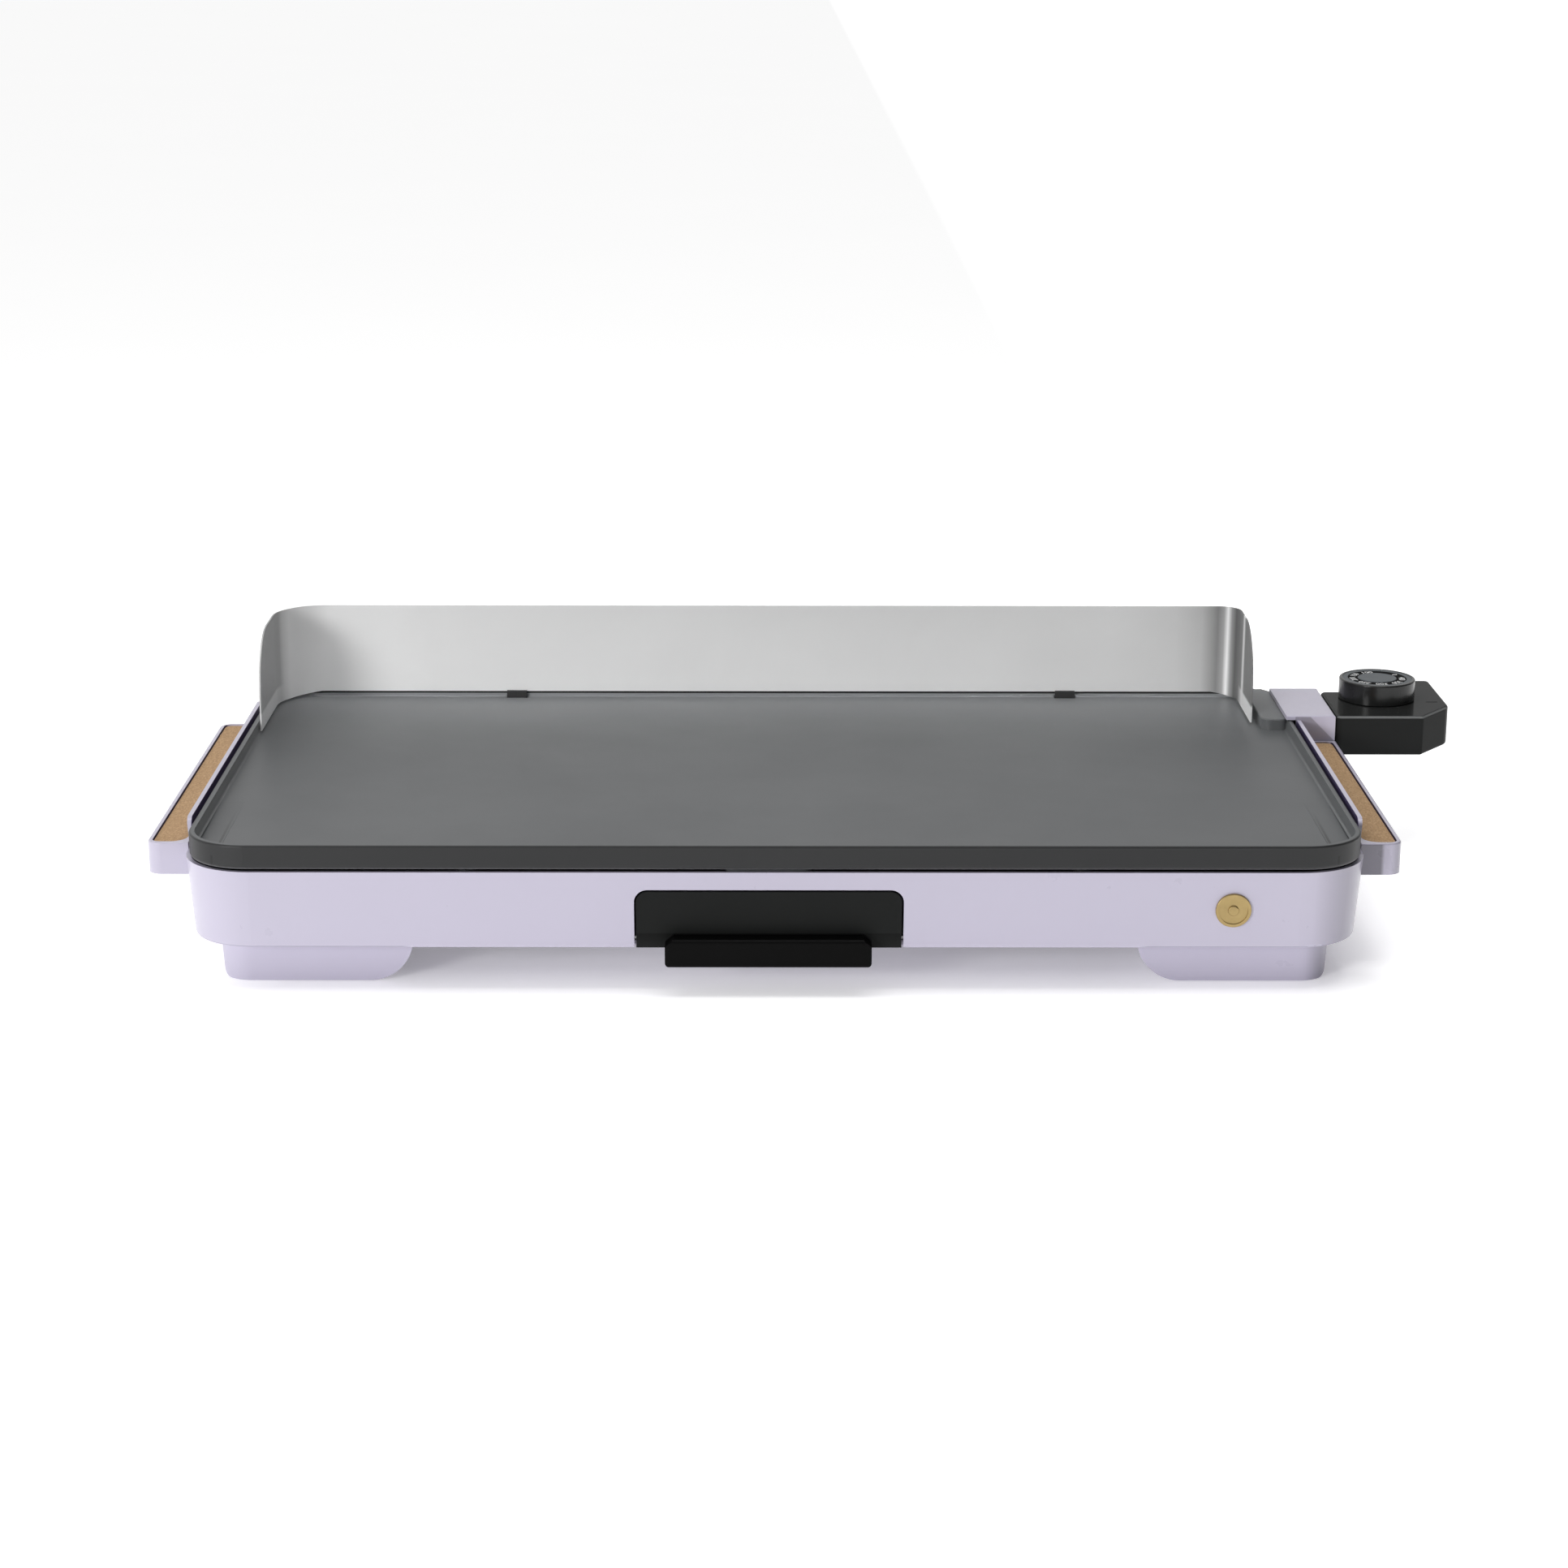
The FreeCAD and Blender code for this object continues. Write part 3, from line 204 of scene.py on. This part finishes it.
    def bump(self, height, strength, depth=0.02 * MM):
        """Adds relief of depth metres."""
        node = self.tree.nodes.new("ShaderNodeBump")
        node.inputs["Strength"].default_value = strength
        node.inputs["Distance"].default_value = depth
        self.link(height, node.inputs["Height"])
        self.link(node.outputs["Normal"], self.shader.inputs["Normal"])

    def colour(self, value):
        self.link(value, self.shader.inputs["Base Color"])

    def roughness(self, value):
        self.link(value, self.shader.inputs["Roughness"])


def scaled(colour, factor):
    return tuple(c * factor for c in colour)


# ------------------------------------------------------------------ finishes
BLACK = (0.0, 0.0, 0.0)
SHELL = (0.512, 0.484, 0.594)
# painted shade colour for the shell's narrow gaps and seams
SHELL_GAP_SHADE = (0.075, 0.060, 0.130)
PLATE_FACE, PLATE_SIDE = (0.103, 0.108, 0.112), (0.0140, 0.0145, 0.0155)
PLATE_LIT_WALL, PLATE_REAR_LIT = (0.19, 0.195, 0.20), (0.205, 0.212, 0.218)


def moulded(name, colour, rough, relief=0.25, coat=0.0, shine=0.5, ior=1.49, worn=0.3):
    """Injection-moulded plastic: faint cloudiness, fine eroded texture, brighter worn edges."""
    f = Finish(name, IOR=ior, Coat_Weight=coat, Coat_Roughness=0.12, Specular_IOR_Level=shine)
    tint = f.blend(f.noise(80 * MM, detail=2.0), scaled(colour, 0.95), scaled(colour, 1.05))
    wear = f.times(f.edge_wear(), f.noise(6 * MM, detail=5.0))
    f.colour(f.blend(f.times(wear, worn), tint, scaled(colour, 1.2)))
    f.roughness(f.span(f.noise(22 * MM, detail=5.0), rough - 0.03, rough + 0.04, 0.3, 0.7))
    f.bump(f.noise(0.35 * MM, detail=2.0), relief)
    return f.material


def shell_plastic():
    """Satin lavender plastic with painted shade in its narrow gaps, along the foot seams and at
    the right end.
    """
    f = Finish("shell", IOR=1.49, Coat_Weight=0.25, Coat_Roughness=0.12)
    tint = f.blend(f.noise(80 * MM, detail=2.0), scaled(SHELL, 0.985), scaled(SHELL, 1.015))
    x, y, height, outwards = f.axis("X"), f.axis("Y"), f.axis("Z"), f.away("X")

    # painted shade in the gaps beside the plate and the cork, ahead of the hood on the right and
    # all along the left
    above_base = f.rise(height, RAIL_FOOT, RAIL_FOOT + 0.2 * MM)
    beside_plate = f.times(f.fall(outwards, RAIL_FACE, RAIL_FACE + 0.1 * MM), above_base)
    beside_cork = f.times(f.rise(outwards, CORK_OUTER[0], CORK_OUTER[0] + 0.2 * MM),
                          f.fall(outwards, CORK_OUTER[1] - 0.1 * MM, CORK_OUTER[1]),
                          f.rise(y, CORK_FRONT - 0.1 * MM, CORK_FRONT),
                          above_base,
                          f.fall(height, GRIP_BORDER - 0.05 * MM, GRIP_BORDER + 0.05 * MM))
    ahead_of_hood = f.maths("MAXIMUM", f.fall(y, HOOD_FRONT, HOOD_FRONT + 0.1 * MM),
                            f.fall(x, 0.0, 0.01))
    gap = f.times(ahead_of_hood, f.maths("MAXIMUM", beside_plate, beside_cork))

    # painted shade line where the base meets each foot
    foot_seam_shade = f.times(f.rise(height, BASE_BOTTOM - 0.7 * MM, BASE_BOTTOM - 0.6 * MM),
                        f.fall(height, BASE_BOTTOM + 0.7 * MM, BASE_BOTTOM + 1.0 * MM),
                        f.span(f.facing("Z"), 0.0, 0.65, -0.8, -0.5),
                        f.rise(outwards, FOOT_INNER, FOOT_INNER + 3 * MM))

    # shade on the fronts of the right grip and the hood, and on every side that faces right
    front = f.times(f.rise(x, RIGHT_FRONTS, RIGHT_FRONTS + 0.2 * MM),
                    f.fall(f.facing("Y"), -0.98, -0.80))
    grip_shade = f.times(f.fall(y, 0.0, 0.01), f.fall(outwards, *GRIP_SHADE))
    slanting = f.fall(f.maths("ADD", outwards, height), *HOOD_SHADE)
    hood_shade = f.times(f.span(y, 0.0, 0.72, 0.0, 0.01), slanting)
    shade = f.maths("MAXIMUM", f.times(front, f.maths("MAXIMUM", grip_shade, hood_shade)),
                    f.span(f.facing("X"), 0.0, 0.52, 0.2, 0.7))

    tint = f.darken(f.times(shade, 0.62), tint)
    f.colour(f.blend(f.maths("MAXIMUM", gap, foot_seam_shade), tint, SHELL_GAP_SHADE))
    f.roughness(f.span(f.noise(22 * MM, detail=5.0), 0.27, 0.34, 0.3, 0.7))
    f.bump(f.noise(0.6 * MM, detail=2.0), 0.02)
    return f.material


def plate_coating():
    """Grey non-stick coating, dark down the outer side of the rim, with painted light to the back
    and on the left inner walls, and painted light and shade under the guard and at the gutter
    steps.
    """
    f = Finish("plate_coating", IOR=1.5, Specular_IOR_Level=0.42)
    y, height, outwards = f.axis("Y"), f.axis("Z"), f.away("X")

    # distance from the centres of the rounded corners tells the rim's outer side
    past = [f.maths("MAXIMUM", f.maths("SUBTRACT", f.away(letter), half - PLATE_CORNER), 0.0)
            for letter, half in zip("XY", PLATE_HALF)]
    squares = [f.maths("POWER", distance, 2.0) for distance in past]
    radius = f.maths("SQRT", f.maths("ADD", *squares))
    outer_side = f.rise(radius, PLATE_CORNER - 1.3 * MM, PLATE_CORNER - 0.4 * MM)
    # painted light: upright walls on the left half of the plate are lighter
    left_wall_light = f.times(f.fall(f.facing("Z"), 0.2, 0.7), f.span(f.axis("X"), 0.8, 0.0, -0.1, 0.1))
    base = f.blend(left_wall_light, PLATE_FACE, PLATE_LIT_WALL)
    # painted light: the surface lightens towards the back
    rear_light = f.rise(y, *REAR_PAINTED_LIGHT)
    base = f.blend(f.times(rear_light, rear_light), base, PLATE_REAR_LIT)
    base = f.blend(outer_side, base, PLATE_SIDE)

    # below the guard the rim's inner side has a painted light strip and a painted black shadow
    # line over it
    under_guard = f.times(f.rise(y, GUARD_BACK - 0.4 * MM, GUARD_BACK + 0.2 * MM),
                          f.fall(outer_side, 0.0, 1.0))
    lit_strip = f.fall(height, LIT_STRIP_TOP - 0.1 * MM, LIT_STRIP_TOP)
    line = f.times(f.rise(height, LIT_STRIP_TOP - 0.1 * MM, LIT_STRIP_TOP), f.fall(height, *SHADOW_LINE_TOP))
    base = f.blend(f.times(under_guard, lit_strip), base, (0.30, 0.31, 0.32))
    base = f.blend(f.times(under_guard, line), base, (0.003, 0.003, 0.003))

    # painted shade line at the foot of the gutter's step, fading as the gutter runs out
    step = f.times(f.rise(outwards, GUTTER_EDGE[0], GUTTER_EDGE[0] + 0.3 * MM),
                   f.fall(outwards, GUTTER_EDGE[1] - 0.5 * MM, GUTTER_EDGE[1]),
                   f.fall(height, SURFACE - 0.05 * MM, SURFACE + 0.05 * MM),
                   f.span(y, 0.72, 0.0, *GUTTER_Y))
    base = f.darken(step, base)

    mottled = f.noise(60 * MM, detail=5.0, roughness=0.6)
    tint = f.darken(f.times(mottled, 0.14), base)
    specks = f.ramp(f.cells(1.5 * MM), (0.0, 1.0), (0.13, 0.0))
    f.colour(f.blend(f.times(specks, 0.06), tint, (0.20, 0.20, 0.205)))
    f.roughness(f.span(f.noise(90 * MM), 0.42, 0.48, 0.3, 0.7))
    f.bump(f.noise(0.5 * MM, detail=2.0), 0.12)
    return f.material


def guard_path(f, corner_x, side, bend, wing_front):
    """Way along the guard: 0 to 0.3 on the wing, to 0.6 round the bend, to 1 on the back."""
    start = GUARD_BACK - bend
    from_bend = f.maths("SUBTRACT", f.axis("X"), corner_x + side * bend)
    across = f.times(from_bend, -side)
    behind = f.maths("SUBTRACT", f.axis("Y"), start)
    wing = f.span(f.axis("Y"), 0.0, 0.3, wing_front, start)
    turn = f.span(f.maths("ARCTAN2", behind, across), 0.0, 0.3, 0.0, math.pi / 2)
    back = f.span(across, 0.4, 0.0, -60 * MM, 0.0)
    return f.maths("ADD", f.maths("ADD", wing, turn), back)


def guard_steel():
    """Bright satin sheet; its upright light and dark bands round the bends are painted
    reflections, with a painted highlight along the wings' lower edge and painted shade towards the
    top.
    """
    f = Finish("guard_steel", IOR=1.6, Metallic=0.25)
    height = f.axis("Z")
    # painted reflections: light and dark bands round each bend
    left = f.ramp(guard_path(f, GUARD_LEFT, 1, LEFT_BEND, LEFT_WING),
                  (0.0, 0.70), (0.05, 0.55), (0.36, 0.54), (0.39, 0.80), (0.43, 1.0),
                  (0.60, 1.0), (0.85, 1.0), (1.0, 0.95))
    right = f.ramp(guard_path(f, GUARD_RIGHT, -1, RIGHT_BEND, RIGHT_WING),
                   (0.0, 0.24), (0.17, 0.23), (0.21, 1.0), (0.24, 0.27), (0.40, 0.15),
                   (0.46, 0.38), (0.50, 1.0), (0.54, 0.42), (0.60, 0.32), (0.66, 0.66),
                   (0.76, 0.80), (1.0, 0.88))
    bands = f.blend(f.rise(f.axis("X"), -230 * MM, 150 * MM), left, right)
    # painted highlight along the wings' lower edge
    wing_edge_highlight = f.times(f.fall(height, *WING_EDGE), f.fall(f.axis("Y"), *WING_BACK))
    bands = f.blend(wing_edge_highlight, bands, (0.93, 0.93, 0.93))
    # painted shade, darker towards the top
    top = f.span(height, 0.0, 0.14, GUARD_LOW, GUARD_TOP)
    smears = f.span(f.noise(80 * MM, detail=4.0, distortion=0.6), 0.0, 0.03, 0.35, 0.65)
    f.colour(f.darken(f.maths("ADD", top, smears), bands))
    f.roughness(f.span(f.noise(90 * MM, detail=2.0), 0.48, 0.56, 0.3, 0.7))
    f.bump(f.noise(1.2 * MM, detail=4.0, stretch=(0.02, 0.02, 1.0)), 0.05)
    return f.material


def turned_metal(name, colour, rough, line=0.25 * MM):
    """Small machined or pressed metal part with tool lines and dull spots."""
    f = Finish(name, Metallic=1.0)
    spots = f.noise(4 * MM, detail=4.0)
    f.colour(f.blend(spots, scaled(colour, 0.82), scaled(colour, 1.08)))
    f.roughness(f.span(f.noise(2.5 * MM), rough - 0.06, rough + 0.08, 0.3, 0.7))
    f.bump(f.noise(line, detail=2.0, stretch=(1.0, 1.0, 0.15)), 0.15)
    return f.material


def heated_tube():
    """Element tube: straw and blue heat tint over dull oxide."""
    f = Finish("element_steel", Metallic=0.85)
    f.colour(f.ramp(f.noise(30 * MM), (0.3, (0.10, 0.085, 0.07)), (0.5, (0.20, 0.15, 0.09)),
                    (0.68, (0.09, 0.09, 0.13))))
    f.roughness(f.span(f.noise(3 * MM), 0.42, 0.6))
    f.bump(f.noise(0.6 * MM), 0.3, 0.03 * MM)
    return f.material


def cork():
    """Pressed cork: fine tan granules with small dark pits."""
    f = Finish("cork", IOR=1.4, Specular_IOR_Level=0.2)
    long_grain = (1.0, 0.45, 1.0)
    grey = f.tree.nodes.new("ShaderNodeRGBToBW")
    f.link(f.cells(0.7 * MM, output="Color", stretch=long_grain), grey.inputs["Color"])
    granules = f.ramp(grey.outputs["Val"], (0.0, (0.37, 0.235, 0.125)),
                      (0.5, (0.46, 0.300, 0.165)), (1.0, (0.55, 0.370, 0.215)))
    cloudy = f.span(f.noise(16 * MM, detail=5.0), 0.0, 0.25, 0.35, 0.7)
    clouded = f.blend(cloudy, granules, (0.43, 0.275, 0.145))
    pits = f.ramp(f.noise(0.6 * MM, roughness=0.7, stretch=long_grain), (0.33, 1.0), (0.42, 0.0))
    f.colour(f.blend(f.times(pits, 0.5), clouded, (0.16, 0.095, 0.05)))
    f.roughness(f.span(f.noise(2 * MM), 0.72, 0.9))
    f.bump(f.noise(0.6 * MM, detail=4.0, roughness=0.7), 0.4, 0.08 * MM)
    return f.material


def ceramic():
    f = Finish("white_ceramic", IOR=1.6)
    f.colour(f.blend(f.noise(3 * MM, detail=4.0), (0.62, 0.58, 0.50), (0.78, 0.75, 0.68)))
    f.roughness(f.span(f.noise(1 * MM), 0.5, 0.65))
    f.bump(f.noise(0.3 * MM), 0.2)
    return f.material


def lamp_glass():
    f = Finish("lamp_glass", IOR=1.5, Transmission_Weight=0.9)
    f.colour(f.blend(f.noise(1 * MM), (0.85, 0.62, 0.45), (0.95, 0.80, 0.68)))
    f.roughness(f.span(f.noise(0.8 * MM), 0.05, 0.15))
    return f.material


def probe_plastic():
    """Glossy black plastic; the rounded upper front edges of the case carry a painted highlight.
    """
    f = Finish("probe_plastic", IOR=1.08, Specular_IOR_Level=0.5)
    black = f.blend(f.noise(60 * MM, detail=2.0), (0.0195, 0.0203, 0.0200),
                    (0.0215, 0.0223, 0.0220))
    up = f.facing("Z")
    edge_highlight = f.times(f.rise(up, 0.20, 0.45), f.fall(up, 0.90, 0.99),
                       f.fall(f.facing("Y"), -0.45, -0.15))
    f.colour(f.blend(edge_highlight, black, (0.16, 0.165, 0.165)))
    f.roughness(f.span(f.noise(22 * MM, detail=5.0), 0.12, 0.18, 0.3, 0.7))
    f.bump(f.noise(0.6 * MM, detail=2.0), 0.02)
    return f.material


def tray_plastic():
    """Matt black plastic; the finger pull is painted darkest, as shade."""
    f = Finish("tray_plastic", IOR=1.49, Specular_IOR_Level=0.09)
    # painted shade: the finger pull is made darker than the panel
    pull = f.times(f.fall(f.axis("Y"), TRAY_FRONT - 1 * MM, TRAY_FRONT),
                   f.fall(f.axis("Z"), PULL_TOP - 0.3 * MM, PULL_TOP + 0.3 * MM))
    panel = f.blend(f.noise(40 * MM, detail=4.0), (0.0112, 0.0120, 0.0117),
                    (0.0126, 0.0134, 0.0131))
    f.colour(f.blend(pull, panel, (0.0006, 0.0006, 0.0006)))
    f.roughness(f.span(f.noise(22 * MM, detail=5.0), 0.46, 0.54, 0.3, 0.7))
    f.bump(f.noise(0.4 * MM, detail=2.0), 0.2)
    return f.material


def printed_white():
    f = Finish("dial_print", IOR=1.45)
    f.colour(f.blend(f.noise(0.6 * MM), (0.66, 0.67, 0.68), (0.80, 0.80, 0.80)))
    f.roughness(f.span(f.noise(0.4 * MM), 0.45, 0.6))
    return f.material


finishes = {
    "plate_coating": plate_coating(),
    "guard_steel": guard_steel(),
    "cork": cork(),
    "element_steel": heated_tube(),
    "white_ceramic": ceramic(),
    "lamp_glass": lamp_glass(),
    "shell": shell_plastic(),
    "tray_plastic": tray_plastic(),
    "probe_plastic": probe_plastic(),
    "knob_plastic": moulded("knob_plastic", (0.0120, 0.0126, 0.0124), 0.22, relief=0.02,
                            coat=0.1, shine=0.35, worn=0.0),
    "black_rubber": moulded("black_rubber", (0.020, 0.020, 0.020), 0.62, relief=0.5),
    "lens_plastic": moulded("lens_plastic", (0.004, 0.004, 0.004), 0.30, relief=0.02,
                            shine=0.05, ior=1.2),
    "trim_grey": moulded("trim_grey", (0.098, 0.110, 0.119), 0.45, relief=0.10, shine=0.2,
                         worn=0.0),
    "dial_black": moulded("dial_black", (0.003, 0.003, 0.003), 0.60, relief=0.05, shine=0.1,
                          ior=1.2, worn=0.0),
    "steel_part": turned_metal("steel_part", (0.56, 0.56, 0.57), 0.32),
    "rod_steel": turned_metal("rod_steel", (0.62, 0.61, 0.60), 0.22),
    "reflector_sheet": turned_metal("reflector_sheet", (0.68, 0.68, 0.69), 0.34, line=0.8 * MM),
    "contact_brass": turned_metal("contact_brass", (0.62, 0.43, 0.18), 0.30),
    "gold_badge": turned_metal("gold_badge", (0.42, 0.31, 0.14), 0.38, line=0.4 * MM),
}

for part in frame["record"]["subparts"]:
    mesh = nodes[part["node"]].data
    mesh.materials.clear()
    mesh.materials.append(finishes[part["material_slot"]])


# ------------------------------------------------------------------ dial numbers
def piece(name, bm, body, material):
    """Makes a flat-shaded piece from a bmesh in the griddle's frame and lets it ride on a body."""
    mesh = bpy.data.meshes.new(name)
    bm.to_mesh(mesh)
    bm.free()
    mesh.materials.append(material)
    for polygon in mesh.polygons:
        polygon.use_smooth = False
    thing = bpy.data.objects.new(name, mesh)
    bpy.context.scene.collection.objects.link(thing)
    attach(thing, body)


DIAL_MARKS = ["100", "150", "200", "250", "300", "350", "400", "0"]
DIAL_FIRST, DIAL_SWEEP = math.radians(105), math.radians(290)
RING_BORE = 10.8 / 16.2           # inner radius of the black ring over its outer radius
MARK_HEIGHT = 0.62                # share of the ring's width
TYPE_SIZE = 1.4                   # type size over the height of its digits
PRINT_DEPTH = 0.10 * MM
STROKE_GAIN = 0.04 * MM


def dial_numbers():
    """Numbers round the black ring of the dial, cut from type and laid on its top."""
    low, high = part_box("dial_ring")
    centre = (low + high) / 2
    outer = (high.x - low.x) / 2
    inner = outer * RING_BORE
    radius = (inner + outer) / 2
    bm = bmesh.new()
    for index, mark in enumerate(DIAL_MARKS):
        angle = DIAL_FIRST + DIAL_SWEEP * index / (len(DIAL_MARKS) - 1)
        type_line = bpy.data.curves.new("mark", "FONT")
        type_line.body = mark
        type_line.size = (outer - inner) * MARK_HEIGHT * TYPE_SIZE
        type_line.align_x = type_line.align_y = "CENTER"
        type_line.extrude = PRINT_DEPTH / 2
        type_line.offset = STROKE_GAIN
        text = bpy.data.objects.new("mark", type_line)
        bpy.context.scene.collection.objects.link(text)
        bpy.context.view_layer.update()
        mesh = bpy.data.meshes.new_from_object(text)
        spot = Vector((centre.x + math.cos(angle) * radius,
                       centre.y + math.sin(angle) * radius, high.z))
        upright = Matrix.Rotation(angle - math.radians(90), 4, "Z")
        mesh.transform(Matrix.Translation(spot) @ upright)
        bm.from_mesh(mesh)
        bpy.data.objects.remove(text)
        bpy.data.curves.remove(type_line)
        bpy.data.meshes.remove(mesh)
    piece("dial_numbers", bm, "knob", printed_white())


dial_numbers()


# ------------------------------------------------------------------ floor, light and camera
FLOOR_SIZE = 400
FLOOR_GLOW = (0.17, 0.46)         # under the griddle, where the lower value is a painted shadow, and beyond it
RIGHT_GLOW = 0.24                 # more of it beyond the right end, painted light over the cast shadow there
SKY_LEVEL = 0.41
SKY_LEAN = (-0.38, 0.35, 0.16)    # the sky brightens to the left, the back and above
SKY_DARKEST = 0.02
VIEW_FROM = (-0.0387, -1.6362, 0.5209)
VIEW_PITCH, VIEW_YAW, VIEW_ROLL = (math.radians(a) for a in (15.709, 0.367, 0.151))
LENS, SENSOR = 74.21, 36.0


def floor():
    """Pale floor that glows a little more beyond the griddle's outline; its weaker glow under the
    griddle is a painted shadow, and more glow beyond the right end is painted light over the cast
    shadow there.
    """
    bpy.ops.mesh.primitive_plane_add(size=FLOOR_SIZE, location=(0, 0, 0))
    ground = bpy.context.object
    ground.name = "floor"
    f = Finish("floor", IOR=1.3, Specular_IOR_Level=0.0)
    f.colour(f.blend(f.noise(0.4, detail=2.0), (0.93, 0.93, 0.93), (0.95, 0.95, 0.95)))
    f.roughness(0.9)
    beyond = f.maths("MAXIMUM", f.rise(f.maths("ABSOLUTE", f.axis("X")), 0.24, 0.31),
                     f.rise(f.maths("ABSOLUTE", f.axis("Y")), 0.12, 0.175))
    # painted light over the cast shadow beyond the right end
    right_shadow_fill = f.span(f.axis("X"), 0.0, RIGHT_GLOW, 0.235, 0.275)
    f.shader.inputs["Emission Color"].default_value = (1, 1, 1, 1)
    f.link(f.maths("ADD", f.span(beyond, *FLOOR_GLOW), right_shadow_fill),
           f.shader.inputs["Emission Strength"])
    ground.data.materials.append(f.material)


def sky():
    """White studio that dims and brightens smoothly with direction."""
    world = bpy.data.worlds.new("studio")
    bpy.context.scene.world = world
    world.use_nodes = True
    tree = world.node_tree
    lean = tree.nodes.new("ShaderNodeVectorMath")
    lean.operation = "DOT_PRODUCT"
    tree.links.new(tree.nodes.new("ShaderNodeTexCoord").outputs["Generated"], lean.inputs[0])
    lean.inputs[1].default_value = SKY_LEAN
    strength = lean.outputs["Value"]
    for kind, number in (("ADD", SKY_LEVEL), ("MAXIMUM", SKY_DARKEST)):
        step = tree.nodes.new("ShaderNodeMath")
        step.operation = kind
        tree.links.new(strength, step.inputs[0])
        step.inputs[1].default_value = number
        strength = step.outputs["Value"]
    back = tree.nodes["Background"]
    back.inputs["Color"].default_value = (1, 1, 1, 1)
    tree.links.new(strength, back.inputs["Strength"])


def lamp(name, place, aim, size, power, spread=180):
    """Rectangular lamp at place that points at aim."""
    data = bpy.data.lights.new(name, "AREA")
    data.shape = "RECTANGLE"
    data.size, data.size_y = size
    data.energy = power
    data.spread = math.radians(spread)
    thing = bpy.data.objects.new(name, data)
    bpy.context.scene.collection.objects.link(thing)
    thing.location = place
    thing.rotation_euler = (Vector(aim) - Vector(place)).to_track_quat("-Z", "Y").to_euler()


def camera():
    """The view in which the griddle is known: from the front, a little above."""
    ahead = Vector((math.sin(VIEW_YAW) * math.cos(VIEW_PITCH),
                    math.cos(VIEW_YAW) * math.cos(VIEW_PITCH), -math.sin(VIEW_PITCH)))
    right = Vector((math.cos(VIEW_YAW), -math.sin(VIEW_YAW), 0))
    up = right.cross(ahead)
    right_rolled = math.cos(VIEW_ROLL) * right + math.sin(VIEW_ROLL) * up
    up_rolled = math.cos(VIEW_ROLL) * up - math.sin(VIEW_ROLL) * right
    data = bpy.data.cameras.new("camera")
    data.sensor_width = SENSOR
    data.lens = LENS
    data.clip_end = FLOOR_SIZE
    thing = bpy.data.objects.new("camera", data)
    bpy.context.scene.collection.objects.link(thing)
    turn = Matrix((right_rolled, up_rolled, -ahead)).transposed().to_4x4()
    thing.matrix_world = Matrix.Translation(VIEW_FROM) @ turn
    bpy.context.scene.camera = thing


floor()
sky()
lamp("key", (-1.50, -1.95, 0.62), (0, 0, 0.06), (0.7, 0.5), 23)
lamp("guard_strip", (-0.04, -0.95, 0.72), (-0.04, 0.15, 0.088), (0.66, 0.04), 0.036, spread=8)
lamp("overhead", (-0.05, -0.25, 1.5), (-0.05, 0.0, 0.08), (1.3, 0.45), 8)
camera()
view = bpy.context.scene.view_settings
view.view_transform = "Standard"
view.look = "None"
